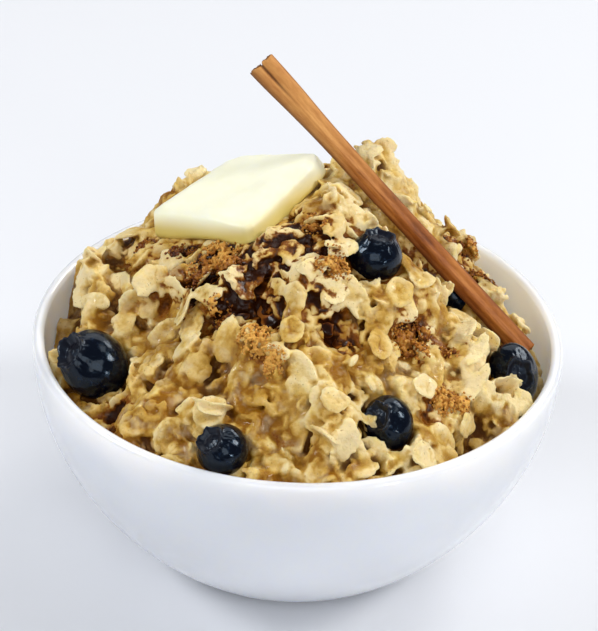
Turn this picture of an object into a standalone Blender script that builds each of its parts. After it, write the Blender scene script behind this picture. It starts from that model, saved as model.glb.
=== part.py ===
"""A bowl of oat porridge heaped above its rim, with a pat of butter, a cinnamon stick and six
blueberries. Metres, +Z up, the front towards -Y, the origin under the middle of the bowl's foot."""

import math

import bmesh
import bpy
from mathutils import Matrix, Vector, noise

MM = 0.001
GAP = 0.35 * MM  # kept between pieces that touch

# The bowl
BOWL_RADIUS = 70 * MM
BOWL_HEIGHT = 63 * MM
FOOT_RADIUS = 34 * MM
FOOT_RING = 6 * MM  # width of the ring it stands on
RECESS = 1.5 * MM  # depth of the hollow under it
WALL_AT_LIP = 3.1 * MM
WALL_AT_FOOT = 4.6 * MM
AROUND = 56  # facets round the bowl and round the porridge

# The porridge: its level along the wall and how fast it rises from there, by compass degrees from +X
EDGE_LEVEL = ((0, 54), (45, 49), (90, 48), (130, 54), (150, 58), (180, 58), (225, 57.5), (270, 59.5), (315, 57))
EDGE_RISE = ((0, 7), (45, 7), (90, 3), (130, 5), (180, 6), (225, 4), (270, 3), (315, 5))
PEAK = Vector((5, 24, 96)) * MM
REACH = {"left": 58 * MM, "right": 54 * MM, "front": 88 * MM, "back": 38 * MM}
# Each lump adds a rounded hill: x, y, radius, height
LUMPS = [
    (-34, 32, 8, 16), (-40, 13, 10, 7), (-47, 27, 8, 8), (-58, 25, 6, 8), (19, 39, 7, 11),
    (31, 34, 7, 6), (42, 26, 7, 2), (52, 21, 7, 7), (-20, -16, 8, 2), (-10, 21, 12, -4),
    (22, 17, 9, -7), (36, 12, 8, -8), (-46, -2, 9, 4), (44, -18, 11, 4), (0, -34, 11, 2),
    (-24, -38, 10, 3), (-56, 10, 7, 4),
]
TOP_RINGS = 16
WALL_RINGS = 6

# Butter: three corners of its upper face, and its thickness
BUTTER_LEFT = Vector((-40, 16.5, 88)) * MM
BUTTER_FRONT = Vector((-16, -1.5, 97)) * MM
BUTTER_RIGHT = Vector((4.5, 26, 101)) * MM
BUTTER_THICK = 7 * MM

# Cinnamon stick: the middles of its two ends, and the sheet of bark rolled inwards from both sides
STICK_FOOT = Vector((60.7, 3.1, 57.6)) * MM
STICK_TIP = Vector((-12.9, 35.7, 123.0)) * MM
SCROLL_RADIUS = 1.85 * MM
SCROLL_SPACING = 3.25 * MM  # between the middles of the two scrolls
SEAM_FACES = Vector((0, -0.84, 0.54))  # the side of the stick where its two scrolls show
BARK_THICK = 0.5 * MM
SCROLL_TURNS = 1.1

# Blueberries: middle, radius, and where the crown points
BERRY_FACETS = 16
BERRIES = (
    ((-52.6, -20.5, 63.5), 8.9, (-0.75, -0.25, 0.60)),
    ((-17.5, -56.5, 63.5), 6.8, (-0.55, -0.35, 0.75)),
    ((23.5, -45.0, 66.3), 6.8, (-0.50, -0.55, 0.65)),
    ((18.9, -7.0, 91.0), 7.1, (0.15, 0.10, 0.98)),
    ((56.2, -12.6, 61.5), 7.0, (0.25, -0.80, 0.55)),
    ((41.0, 17.2, 65.0), 6.8, (0.40, 0.70, 0.59)),
)


def clear_scene():
    for obj in list(bpy.data.objects):
        bpy.data.objects.remove(obj, do_unlink=True)


def new_collection(name, shown=True):
    made = bpy.data.collections.new(name)
    made.hide_render = not shown
    bpy.context.scene.collection.children.link(made)
    return made


def material(name, colour, roughness):
    made = bpy.data.materials.new(name)
    made.use_nodes = True
    shader = made.node_tree.nodes["Principled BSDF"]
    shader.inputs["Base Color"].default_value = (*colour, 1)
    shader.inputs["Roughness"].default_value = roughness
    shader.inputs["Metallic"].default_value = 0
    return made


def new_object(name, mesh, collection, surface=None):
    made = bpy.data.objects.new(name, mesh)
    if surface:
        mesh.materials.append(surface)
    collection.objects.link(made)
    return made


def turned(name, profile, collection, surface, steps):
    """A profile of (radius, height) points turned round Z by a Screw modifier."""
    mesh = bpy.data.meshes.new(name)
    points = [(r, 0, z) for r, z in profile]
    mesh.from_pydata(points, [(i, i + 1) for i in range(len(points) - 1)], [])
    made = new_object(name, mesh, collection, surface)
    screw = made.modifiers.new("turn", "SCREW")
    screw.steps = screw.render_steps = steps
    screw.use_merge_vertices = True
    screw.merge_threshold = 0.00001
    return made


def subtract(target, cutter):
    cut = target.modifiers.new("clear of " + cutter.name, "BOOLEAN")
    cut.operation = "DIFFERENCE"
    cut.object = cutter


def as_cutter(cutter):
    cutter.hide_render = True
    cutter.display_type = "WIRE"


# --- the bowl ---


def outer_wall(t):
    """(radius, height, outward normal) of the outer wall: a cubic curve, t = 0 at the foot, 1 at the lip."""
    lip = BOWL_HEIGHT - WALL_AT_LIP / 2
    nodes = ((FOOT_RADIUS, 0), (FOOT_RADIUS + 3 * MM, 0), (BOWL_RADIUS, 24 * MM), (BOWL_RADIUS, lip))
    a, b, c, d = (Vector(p) for p in nodes)
    u = 1 - t
    place = a * u**3 + b * 3 * u * u * t + c * 3 * u * t * t + d * t**3
    along = (b - a) * u * u + (c - b) * 2 * u * t + (d - c) * t * t
    return place, Vector((along.y, -along.x)).normalized()


def inner_wall(t):
    """(radius, height) of the inner wall: the outer one moved in by a thickness that falls to the lip's."""
    place, normal = outer_wall(t)
    return place - normal * (WALL_AT_FOOT + (WALL_AT_LIP - WALL_AT_FOOT) * min(1, 1.4 * t))


def inner_radius(height):
    """The inside radius at a height, by halving."""
    low, high = 0.0, 1.0
    for _ in range(40):
        middle = (low + high) / 2
        if inner_wall(middle).y < height:
            low = middle
        else:
            high = middle
    return inner_wall(low).x


def bowl(collection, glaze):
    rise = [0.09, 0.19, 0.30, 0.41, 0.53, 0.65, 0.77, 0.88, 1.0]
    inside = [Vector((0, WALL_AT_FOOT)), inner_wall(0)] + [inner_wall(t) for t in rise]
    middle = (inner_wall(1) + outer_wall(1)[0]) / 2
    half = WALL_AT_LIP / 2
    turns = [math.radians(a) for a in (144, 108, 72, 36)]
    lip = [middle + Vector((math.cos(a), math.sin(a))) * half for a in turns]
    outside = [outer_wall(t)[0] for t in reversed(rise)] + [Vector((FOOT_RADIUS, 0))]
    ring = FOOT_RADIUS - FOOT_RING
    under = [Vector((ring, 0)), Vector((ring - RECESS, RECESS)), Vector((0, RECESS))]
    return turned("bowl", inside + lip + outside + under, collection, glaze, AROUND)


# --- the porridge ---


def by_direction(table, degrees):
    """The value at a compass direction, read between the entries of a table in millimetres."""
    entries = list(table) + [(table[0][0] + 360, table[0][1])]
    for (a, low), (b, high) in zip(entries, entries[1:]):
        if a <= degrees <= b:
            return (low + (high - low) * (degrees - a) / (b - a)) * MM
    return entries[0][1] * MM


def porridge_height(x, y):
    """The heap's top: a level at the wall, a mound with four reaches, lumps and a fine unevenness."""
    degrees = math.degrees(math.atan2(y, x)) % 360
    in_from_wall = max(0, 66.5 * MM - math.hypot(x, y))
    z = by_direction(EDGE_LEVEL, degrees)
    z += by_direction(EDGE_RISE, degrees) * (1 - math.exp(-in_from_wall / (5 * MM)))
    side = REACH["left"] if x < PEAK.x else REACH["right"]
    depth = REACH["front"] if y < PEAK.y else REACH["back"]
    out = min(1, math.hypot((x - PEAK.x) / side, (y - PEAK.y) / depth))
    z += (PEAK.z - z) * (0.5 + 0.5 * math.cos(math.pi * out**1.6))
    for lump_x, lump_y, radius, height in LUMPS:
        away = (x - lump_x * MM) ** 2 + (y - lump_y * MM) ** 2
        z += height * MM * math.exp(-away / (0.9 * (radius * MM) ** 2))
    return z + 2.2 * MM * noise.noise(Vector((x, y, 0)) / (9 * MM)) * min(1, in_from_wall / (8 * MM))


def porridge_point(angle, ring):
    """One vertex of the heap: rings 0 to TOP_RINGS cross its top, and the rest go down the bowl's inside."""
    level = by_direction(EDGE_LEVEL, math.degrees(angle) % 360)
    radius = inner_radius(level) - GAP
    if ring <= TOP_RINGS:
        radius *= ring / TOP_RINGS
        x, y = radius * math.cos(angle), radius * math.sin(angle)
        return Vector((x, y, porridge_height(x, y)))
    floor = WALL_AT_FOOT + 2 * GAP
    share = 1 - (ring - TOP_RINGS) / WALL_RINGS
    height = floor + (level - floor) * share**1.3
    radius = (inner_radius(height) - 1.5 * GAP) * min(1, 3 * share)
    return Vector((radius * math.cos(angle), radius * math.sin(angle), height))


def porridge_heap(collection, oats):
    """A round cage of rings whose vertices move to the heap's top and to the bowl's inside."""
    cage = bmesh.new()
    rings = TOP_RINGS + WALL_RINGS
    bmesh.ops.create_uvsphere(cage, u_segments=AROUND, v_segments=rings, radius=1)
    for vertex in cage.verts:
        down = math.acos(max(-1, min(1, vertex.co.z)))
        angle = math.atan2(vertex.co.y, vertex.co.x)
        vertex.co = porridge_point(angle, round(down / math.pi * rings))
    bmesh.ops.recalc_face_normals(cage, faces=cage.faces)
    mesh = bpy.data.meshes.new("porridge_heap")
    cage.to_mesh(mesh)
    cage.free()
    return new_object("porridge_heap", mesh, collection, oats)


# --- what lies on it ---


def butter_frame():
    """The matrix at the middle of the butter, and its two sides: X runs left to front, Z out of its top."""
    along = BUTTER_FRONT - BUTTER_LEFT
    across = BUTTER_RIGHT - BUTTER_FRONT
    up = along.cross(across).normalized()
    x = along.normalized()
    y = up.cross(x)
    middle = (BUTTER_LEFT + BUTTER_RIGHT) / 2 - up * BUTTER_THICK / 2
    turn = Matrix((x, y, up)).transposed().to_4x4()
    return Matrix.Translation(middle) @ turn, along.length, across.length


def butter(name, collection, surface, grow=0):
    place, length, width = butter_frame()
    slab = bmesh.new()
    sides = (length + 2 * grow, width + 2 * grow, BUTTER_THICK + 2 * grow)
    bmesh.ops.create_cube(slab, size=1, matrix=Matrix.Diagonal((*sides, 1)))
    mesh = bpy.data.meshes.new(name)
    slab.to_mesh(mesh)
    slab.free()
    made = new_object(name, mesh, collection, surface)
    made.matrix_world = place
    rounded = made.modifiers.new("melted edges", "BEVEL")
    rounded.width = 2.6 * MM
    rounded.segments = 3
    return made


def stick_frame():
    """The matrix at the middle of the stick: Z runs along it, X across its two scrolls, Y out of the seam."""
    z = (STICK_TIP - STICK_FOOT).normalized()
    x = SEAM_FACES.cross(z).normalized()
    turn = Matrix((x, z.cross(x), z)).transposed().to_4x4()
    return Matrix.Translation((STICK_FOOT + STICK_TIP) / 2) @ turn


def scroll(side, inset):
    """Half of the bark's section: a spiral wound inwards from the seam, its middle at +-SCROLL_SPACING / 2."""
    steps = round(18 * SCROLL_TURNS)
    pitch = (BARK_THICK + 0.35 * MM) / (2 * math.pi)
    points = []
    for i in range(steps + 1):
        turn = 2 * math.pi * SCROLL_TURNS * i / steps
        radius = SCROLL_RADIUS - inset - pitch * turn
        angle = math.radians(90) + math.radians(45) - turn
        points.append((side * (SCROLL_SPACING / 2 + radius * math.cos(angle)), radius * math.sin(angle)))
    return points


def cinnamon_stick(collection, bark):
    outline = scroll(1, 0) + scroll(1, BARK_THICK)[::-1] + scroll(-1, BARK_THICK) + scroll(-1, 0)[::-1]
    section = bpy.data.curves.new("cinnamon_stick", "CURVE")
    section.dimensions = "2D"
    section.fill_mode = "BOTH"
    section.extrude = (STICK_TIP - STICK_FOOT).length / 2
    spline = section.splines.new("POLY")
    spline.points.add(len(outline) - 1)
    for point, (x, y) in zip(spline.points, outline):
        point.co = (x, y, 0, 1)
    spline.use_cyclic_u = True
    made = new_object("cinnamon_stick", section, collection, bark)
    made.matrix_world = stick_frame()
    return made


def stick_cutter(collection):
    across = SCROLL_SPACING / 2 + SCROLL_RADIUS + GAP
    rod = bmesh.new()
    length = (STICK_TIP - STICK_FOOT).length + 2 * GAP
    flat = Matrix.Diagonal((1, (SCROLL_RADIUS + GAP) / across, 1, 1))
    bmesh.ops.create_cone(
        rod, cap_ends=True, segments=16, radius1=1.06 * across, radius2=1.06 * across,
        depth=length, matrix=flat,
    )
    mesh = bpy.data.meshes.new("cut_stick")
    rod.to_mesh(mesh)
    rod.free()
    made = new_object("cut_stick", mesh, collection)
    made.matrix_world = stick_frame()
    return made


def berry_profile(radius):
    """From the crown's hollow over its rim and down the round side: (radius, height) pairs."""
    cup = [(0, 0.80), (0.24, 0.80), (0.30, 0.99), (0.38, 0.98), (0.44, 0.84)]
    sweep = [math.radians(a) for a in (42, 22, 2, -20, -42, -64)]
    side = [(math.cos(a), 0.93 * math.sin(a)) for a in sweep]
    return [(r * radius, z * radius) for r, z in cup + side + [(0, -0.93)]]


def blueberry(index, collection, skin):
    middle, radius, crown = BERRIES[index]
    name = f"blueberry_{index + 1}"
    made = turned(name, berry_profile(radius * MM), collection, skin, BERRY_FACETS)
    made.matrix_world = Matrix.Translation(Vector(middle) * MM) @ Vector((0, 0, 1)).rotation_difference(
        Vector(crown).normalized()
    ).to_matrix().to_4x4()
    return made


def berry_cutter(index, collection):
    middle, radius, _ = BERRIES[index]
    ball = bmesh.new()
    bmesh.ops.create_uvsphere(ball, u_segments=BERRY_FACETS, v_segments=10, radius=radius * MM * 1.03 + GAP)
    mesh = bpy.data.meshes.new(f"cut_berry_{index + 1}")
    ball.to_mesh(mesh)
    ball.free()
    made = new_object(mesh.name, mesh, collection)
    made.location = Vector(middle) * MM
    return made


def main():
    clear_scene()
    shown = new_collection("bowl_of_porridge")
    cutters = new_collection("cutters", shown=False)
    glaze = material("white_glaze", (0.86, 0.88, 0.92), 0.12)
    oats = material("porridge", (0.68, 0.51, 0.26), 0.45)
    fat = material("butter", (0.93, 0.86, 0.52), 0.30)
    bark = material("cinnamon_bark", (0.48, 0.22, 0.08), 0.65)
    skin = material("blueberry_skin", (0.012, 0.014, 0.035), 0.15)

    bowl(shown, glaze)
    heap = porridge_heap(shown, oats)
    butter("butter_pat", shown, fat)
    cinnamon_stick(shown, bark)
    pieces = [butter("cut_butter", cutters, None, GAP), stick_cutter(cutters)]
    for index in range(len(BERRIES)):
        blueberry(index, shown, skin)
        pieces.append(berry_cutter(index, cutters))
    for cutter in pieces:
        as_cutter(cutter)
        subtract(heap, cutter)


main()
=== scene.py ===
"""The looks of a bowl of oat porridge: a glazed bowl, a heap of swollen oat flakes in their own cream,
brown sugar and its syrup, a pat of butter, a cinnamon stick and blueberries. Metres, +Z up."""

import math

import bpy
import numpy as np
from mathutils import Matrix, Vector


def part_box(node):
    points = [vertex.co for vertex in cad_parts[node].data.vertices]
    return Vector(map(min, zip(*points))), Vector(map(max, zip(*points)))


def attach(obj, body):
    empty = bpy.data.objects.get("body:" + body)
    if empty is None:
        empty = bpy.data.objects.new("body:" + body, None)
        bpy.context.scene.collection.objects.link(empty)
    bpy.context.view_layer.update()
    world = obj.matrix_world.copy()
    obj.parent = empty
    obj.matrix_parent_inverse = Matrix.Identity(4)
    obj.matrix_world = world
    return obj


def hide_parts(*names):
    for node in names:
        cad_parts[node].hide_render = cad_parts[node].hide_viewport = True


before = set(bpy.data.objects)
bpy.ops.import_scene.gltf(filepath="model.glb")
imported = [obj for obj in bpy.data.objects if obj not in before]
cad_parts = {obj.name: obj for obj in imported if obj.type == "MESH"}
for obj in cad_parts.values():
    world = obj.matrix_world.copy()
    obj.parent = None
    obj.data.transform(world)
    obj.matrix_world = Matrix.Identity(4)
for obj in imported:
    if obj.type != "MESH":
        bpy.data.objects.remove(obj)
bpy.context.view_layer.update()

MM = 0.001
TAU = 2 * math.pi

# The bowl, from the frame
BOWL_RADIUS, _, BOWL_HEIGHT = np.array(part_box("bowl")[1])
FOOT_RADIUS = 34 * MM
FOOT_RING = 6 * MM
RECESS = 1.5 * MM
WALL_AT_LIP = 3.1 * MM
WALL_AT_FOOT = 4.6 * MM

# The heap, with the CAD's own numbers: its level along the wall by degrees from +X, then a mound and lumps
EDGE_LEVEL = (
    (0, 54), (45, 49), (90, 48), (130, 54), (150, 58), (180, 58), (225, 57.5), (270, 59.5), (315, 57),
)
EDGE_RISE = ((0, 7), (45, 7), (90, 3), (130, 5), (180, 6), (225, 4), (270, 3), (315, 5))
MOUND_RADIUS = 66.5 * MM
PEAK = np.array((5, 24, 96)) * MM
REACH = {"left": 58 * MM, "right": 54 * MM, "front": 88 * MM, "back": 38 * MM}
LUMPS = (
    (-34, 32, 8, 16), (-40, 13, 10, 7), (-47, 27, 8, 8), (-58, 25, 6, 8), (19, 39, 7, 11),
    (31, 34, 7, 6), (42, 26, 7, 2), (52, 21, 7, 7), (-20, -16, 8, 2), (-10, 21, 12, -4),
    (22, 17, 9, -7), (36, 12, 8, -8), (-46, -2, 9, 4), (44, -18, 11, 4), (0, -34, 11, 2),
    (-24, -38, 10, 3), (-56, 10, 7, 4),
)

# Butter and stick, as in the CAD
BUTTER_LEFT, BUTTER_FRONT, BUTTER_RIGHT = np.array(((-40, 16.5, 88), (-16, -1.5, 97), (4.5, 26, 101))) * MM
BUTTER_THICK = 7 * MM
STICK_FOOT, STICK_TIP = np.array(((60.7, 3.1, 57.6), (-12.9, 35.7, 123.0))) * MM
STICK_LINE = STICK_TIP - STICK_FOOT
SEAM_FACES = np.array((-0.10, -0.90, 0.42))
SCROLL_RADIUS = 1.85 * MM
SCROLL_SPACING = 3.25 * MM
BARK_THICK = 0.55 * MM
STICK_RADIUS = 3.2 * MM

# Where each berry's crown points
CROWNS = (
    (-0.75, -0.25, 0.60), (-0.55, -0.35, 0.75), (-0.50, -0.55, 0.65),
    (0.15, 0.10, 0.98), (0.25, -0.80, 0.55), (0.40, 0.70, 0.59),
)

# Brown sugar: middle, radius, thickness, and how dark and wet it is
SUGAR = (
    (-21.5, -3.5, 4.8, 2.4, 0.35), (-41, 13.5, 2.0, 0.8, 0.60), (-19, -21, 2.6, 1.2, 0.60),
    (-9, -31, 3.6, 2.2, 0.10), (-5, -37, 2.6, 1.6, 0.20), (8, -15.5, 3.8, 1.6, 0.50),
    (28, -24, 3.8, 1.8, 0.45), (31, -20, 2.8, 1.4, 0.65), (38, -21, 1.7, 1.0, 0.45),
    (36.5, -34.5, 3.4, 1.8, 0.25), (41, -34, 2.6, 1.4, 0.45), (42, 28, 3.6, 0.8, 0.55),
    (49, 20, 3.2, 0.8, 0.60), (3, -0.5, 3.2, 1.2, 0.55), (-24, -7.5, 3.0, 2.2, 0.80),
    (-30, 5, 2.6, 1.0, 0.65), (-17, -9, 2.6, 2.0, 0.75),
)

# Syrup pools: middle and reach along x and y
SYRUP = (
    (-11, -14, 5, 5), (-8, -5, 5, 3.5), (-8, -22, 4.5, 4), (-1, -7, 5, 3), (5, -22, 3, 3.5), (-15, -20, 3, 3),
    (8, -27, 3.5, 3), (12, -31, 3, 3), (-24, -7, 3, 2.5), (-6, 3, 5, 3), (-1, 8, 3, 4),
)

# Rises and dips of the heap beyond the CAD's: middle, reach, height. No loose flakes lie in the deep ones.
CHANGES = (
    (-27, 35, 4, 4.5), (-35, 33, 3, -4.5), (-39, 31, 4, -2.8), (-50, 29, 7, -4.2), (-61, 19, 5, -3.5),
    (-62, 11, 5.5, -4.5), (-62, 2, 6.5, -5), (-62, -8, 4.5, -4), (50, -37, 5, -7), (45, -44, 4, -5),
    (1, -54, 2.5, -4.5), (1, 36, 5, -5), (8, 36, 4, -5), (34, 32, 7, -4.5), (60, -20, 3.5, -5),
    (-46, -3, 3, -3.5), (-34, -12, 4, -3), (-47, 12, 4, -2.5), (-20, -33, 4, -2.5), (24, 38, 4, -6.5),
    (19, 38, 3, -3), (41, 27, 4, -2), (60, 20, 5, -4.5), (47, 24, 6, -4), (66, -12, 4, -5),
    (66, 0, 4, -4), (65, 10, 4, -3.2), (-6, -1, 3, -2.5), (-3, 3, 3, -2.5), (-11, -20, 4, -2.5),
    (-7, -24, 4, -3.2), (8, -31, 4, -3.2), (-53, -31, 4.5, -4.5), (-48, -38, 4, -4),
    (-45, -35, 4, -3.5), (-3, -53, 3, -3.2), (34, -40, 3, -3),
)
DEEP_CHANGE = -3.1

# Wide faint stains, and small strong ones in the hollows; the last five, along the stick's lower side, are
# its painted shadow, and the strong one at (-46, -35) by the wall is partly painted shade: middle, reach,
# strength
STAINS_AND_PAINTED_SHADOW = (
    (-36, 6, 11, 0.34), (-22, -4, 13, 0.44), (-8, -12, 14, 0.52), (6, -4, 10, 0.44), (30, -16, 11, 0.30),
    (-30, 20, 9, 0.25), (44, 24, 10, 0.30), (24, 4, 9, 0.22), (-50, -18, 7, 0.30), (38, -34, 7, 0.25),
    (-8, -30, 8, 0.2), (14, 20, 8, 0.2), (-52, 12, 8, 0.15), (-46, -35, 5.5, 0.8), (8, -31, 6, 0.3),
    (-3, -53, 4, 0.25), (34, -39, 4, 0.35), (26, 13.5, 3.2, 0.45), (31, 13, 3.2, 0.50),
    (36, 14.4, 3.2, 0.50), (41, 11, 3.2, 0.40), (43.5, 4, 3, 0.35),
)

# Tint changes that follow how bright the porridge looks there: browner above zero, partly browner porridge
# and partly painted shade; paler below zero, partly paler porridge and partly painted light: middle, reach,
# change of tint
PAINTED_SHADE_AND_TONE = (
    (-8, -46, 14, 0.20), (9, -33, 7, 0.25), (-42, -34, 9, 0.18), (36, -44, 7, 0.15), (-15, -31, 7, 0.12),
    (36, -23, 9, -0.28), (26, 28, 12, -0.15), (-49, 21, 7, -0.40),
)

# Towards where the bowl is looked at from, and the upright of that view
EYE, UPRIGHT = np.array((0, -0.8395, 0.5433)), np.array((0, 0.5433, 0.8395))
BERRY_SHOWS = (1.0, 0.95, 0.85, 0.85, 0.6, 0.5)  # how much of each berry's lower half stands clear
BERRY_CLEAR = (1.0, 1.0, 1.0, 1.0, 1.0, 0.5)  # how wide the clear window in front of each berry is
# Which way each berry is longest, to the right and up in that view, and by how much
BERRY_LONG = (
    (0.75, -0.66, 1.13), (0, 1, 1.0), (0.3, -0.95, 1.10), (0, 1, 1.0), (0.15, -0.99, 1.28), (0, 1, 1.0),
)

# Where cream covers the flakes (middle, reach), and clumps that stand out (middle, radius, height)
GOOEY = ((34, -24, 9), (-24, -40, 10), (-6, -48, 9), (-16, -34, 8), (20, -36, 8), (-40, -12, 8), (44, -12, 6))
PALE_CLUMPS = (
    (12, -50, 7.5, 4.0), (6, -44, 6.5, 3.4), (0, -19, 6, 3.2), (9, -21, 5, 2.6), (43, -7, 6, 2.6),
    (46, -23, 6.5, 3.0), (54, -25, 4.5, 2.5), (-17, -15, 5.5, 2.6), (-39, -2, 6.5, 3.4), (-54, 9, 5.5, 3.4),
    (-51, 20, 6.5, 3.6), (-28, 37, 5, 3.0), (13, 9, 6, 2.4), (7, 14, 5, 2.4), (-21, -45, 4, 1.4),
    (-44, -26, 6, 2.0), (30, -52, 6, 2.4),
)

# Flakes listed one by one: place, length, width, heading and tilt in degrees, lift
CHOSEN = (
    (-26, -16, 12.5, 9, 85, 8, 3.0), (-23, -11, 10, 5.5, 0, -20, 3.6), (-17.5, -27, 13, 7, 95, 10, 2.6),
    (-33, -15, 12, 7, 20, -10, 1.8), (-20, -45, 11, 5, 10, 70, 1.5), (-36, -2, 11, 8, 60, -20, 1.6),
    (-30, -6, 10, 7, 130, 20, 1.4), (25, -18, 10, 7, 30, -15, 1.2), (37, -45, 12, 8, 10, -15, 1.2),
    (47, -8, 11, 7, 60, 25, 2.0), (-25, -21, 10, 7.5, 80, -10, 2.8), (10, -9, 10, 7, 70, 10, 1.4),
    (35, -4, 9, 4.5, 50, -20, 3.0), (-46, 4, 11, 8, 150, 20, 1.4), (24, 22, 11, 8, 50, 30, 1.6),
    (53, -25, 10.5, 8, 60, 20, 3.2), (56, -21, 9, 7, 100, 35, 3.8), (50, -26, 8, 6.5, 20, 35, 2.6),
    (57, -25, 8, 6.5, 150, 20, 2.4), (20, -52, 9, 7, 0, -35, 3.0), (20, 38, 6, 8, 0, 80, 2.0),
    (42, -14, 11, 5, 100, 35, 2.0), (43, -20, 12, 5, 95, 40, 2.4), (44, -27, 12, 5, 100, 35, 2.0),
)

# How many waves run round a flake's outline: all the counts of this row, added up
WAVES = np.arange(2.0, 15.0)

# The heap's room to the bowl's wall, how far out its top goes, and the level of its flat underside
ROOM_AT_WALL = 0.35 * MM
HEAP_RADIUS = 66.3 * MM
HEAP_FLOOR = 38 * MM

# The lattices on which shells melt together, the most triangles of a piece, and the fewest points of a body
PORRIDGE_LATTICE = 0.38 * MM
CRUMB_LATTICE = 0.24 * MM
MOST_TRIANGLES = 196000
FEWEST_POINTS = 40

# The grid of the heap's height maps
STEP = 0.28 * MM
AXIS = np.arange(-69 * MM, 69 * MM, STEP)
GX, GY = np.meshgrid(AXIS, AXIS)


# --- numbers: noise, height maps ---


def smooth(low, high, value):
    """3t^2 - 2t^3 with t = (value - low) / (high - low), held between 0 and 1."""
    t = np.clip((value - low) / (high - low), 0, 1)
    return t * t * (3 - 2 * t)


def lattice(ix, iy, iz, seed):
    """A repeatable number from 0 to 1 for a lattice point: the fraction of a large sine."""
    turned = np.sin(ix * 127.1 + iy * 311.7 + iz * 74.7 + seed * 53.3) * 43758.5453
    return turned - np.floor(turned)


def noise(x, y, z, size, seed=0):
    """Value noise from -1 to 1: lattice numbers blended with 3t^2 - 2t^3 along each axis."""
    cells = [np.asarray(v) / size for v in (x, y, z)]
    low = [np.floor(c) for c in cells]
    fx, fy, fz = (f * f * (3 - 2 * f) for f in (c - i for c, i in zip(cells, low)))
    total = 0
    for dx, wx in ((0, 1 - fx), (1, fx)):
        for dy, wy in ((0, 1 - fy), (1, fy)):
            for dz, wz in ((0, 1 - fz), (1, fz)):
                total = total + wx * wy * wz * lattice(low[0] + dx, low[1] + dy, low[2] + dz, seed)
    return 2 * total - 1


def ragged(x, y, z, size, seed=0):
    """Three octaves of noise, each half the size and half the strength of the last."""
    return sum(noise(x, y, z, size / 2**k, seed + k) / 2**k for k in range(3)) / 1.75


def blur(field, reach):
    """A Gaussian blur of a height map, done as a product of its Fourier transform."""
    f = np.fft.fftfreq(len(AXIS), STEP)
    fade = np.exp(-2 * (math.pi * reach) ** 2 * (f[:, None] ** 2 + f[None, :] ** 2))
    return np.fft.ifft2(np.fft.fft2(field) * fade).real


def read(field, x, y):
    """The height map at any places, blended between its four nearest entries."""
    u = np.clip((x - AXIS[0]) / STEP, 0, len(AXIS) - 1.001)
    v = np.clip((y - AXIS[0]) / STEP, 0, len(AXIS) - 1.001)
    i, j = np.floor(u).astype(int), np.floor(v).astype(int)
    fu, fv = u - i, v - j
    if field.ndim == 3:
        fu, fv = fu[..., None], fv[..., None]
    near = field[j, i] * (1 - fu) + field[j, i + 1] * fu
    far = field[j + 1, i] * (1 - fu) + field[j + 1, i + 1] * fu
    return near * (1 - fv) + far * fv


# --- meshes from arrays ---


def make_body(mesh, points, faces):
    """Fills an empty mesh from arrays: faces is a list of index arrays, each of one width."""
    sizes = np.concatenate([np.full(len(f), f.shape[1]) for f in faces])
    corners = np.concatenate([f.ravel() for f in faces]).astype(np.int32)
    mesh.vertices.add(len(points))
    mesh.vertices.foreach_set("co", np.ascontiguousarray(points, np.float32).ravel())
    mesh.loops.add(len(corners))
    mesh.loops.foreach_set("vertex_index", corners)
    mesh.polygons.add(len(sizes))
    mesh.polygons.foreach_set("loop_start", (np.cumsum(sizes) - sizes).astype(np.int32))
    mesh.polygons.foreach_set("use_smooth", np.ones(len(sizes), bool))
    mesh.update(calc_edges=True)
    body = bpy.data.objects.new(mesh.name, mesh)
    bpy.context.scene.collection.objects.link(body)
    return body


def make_piece(name, points, faces, finish, node, marks=None):
    """One piece of the model from arrays, with a number at each point for every mark."""
    piece = make_body(bpy.data.meshes.new(name), points, faces)
    mesh = piece.data
    for mark, values in (marks or {}).items():
        layer = mesh.attributes.new(mark, "FLOAT", "POINT")
        layer.data.foreach_set("value", np.ascontiguousarray(values, np.float32).ravel())
    mesh.materials.append(finish)
    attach(piece, "root")
    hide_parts(node)
    return piece


def lay_out(piece, name, places):
    """A UV map of the piece, from the place of each face corner."""
    piece.data.uv_layers.new(name=name).data.foreach_set("uv", places.astype(np.float32).ravel())


def ball_points(b, a):
    """Points of the unit ball, at the angles b from its top and a round it."""
    return np.stack([np.sin(b) * np.cos(a), np.sin(b) * np.sin(a), np.cos(b) + 0 * a], -1)


def grid_faces(rows, columns, closed=True):
    """Quads between neighbouring rows of a grid whose columns may close on themselves."""
    j = np.arange(columns if closed else columns - 1)
    i = np.arange(rows - 1)[:, None]
    k = (j + 1) % columns
    quads = np.stack([i * columns + j, i * columns + k, (i + 1) * columns + k, (i + 1) * columns + j], -1)
    return quads.reshape(-1, 4)


def shells(rings, first, last):
    """Closed shells from rings (N, rows, columns, 3) and the two end points of each (N, 3).
    Rings run from the first end to the last, and turn anticlockwise seen from outside the first."""
    count, rows, columns, _ = rings.shape
    points = np.concatenate([first[:, None], rings.reshape(count, -1, 3), last[:, None]], 1)
    each = points.shape[1]
    j = np.arange(columns)
    k = (j + 1) % columns
    top = np.stack([np.zeros_like(j), 1 + j, 1 + k], -1)
    end = 1 + (rows - 1) * columns
    bottom = np.stack([np.full_like(j, each - 1), end + k, end + j], -1)
    quads = grid_faces(rows, columns)[:, ::-1] + 1
    shift = (np.arange(count) * each)[:, None, None]
    triangles = (np.concatenate([top, bottom])[None] + shift).reshape(-1, 3)
    return points.reshape(-1, 3), [triangles, (quads[None] + shift).reshape(-1, 4)]


def frames(up, heading, tilt):
    """Three axes a row: Z is up tilted about X, and X is turned by heading round up."""
    side = np.cross(up, np.array((0.31, 0.95, 0.02)))
    side /= np.linalg.norm(side, axis=-1, keepdims=True)
    x = side * np.cos(heading)[:, None] + np.cross(up, side) * np.sin(heading)[:, None]
    z = up * np.cos(tilt)[:, None] + np.cross(x, up) * np.sin(tilt)[:, None]
    return x, np.cross(z, x), z


# --- shader maths ---


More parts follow.
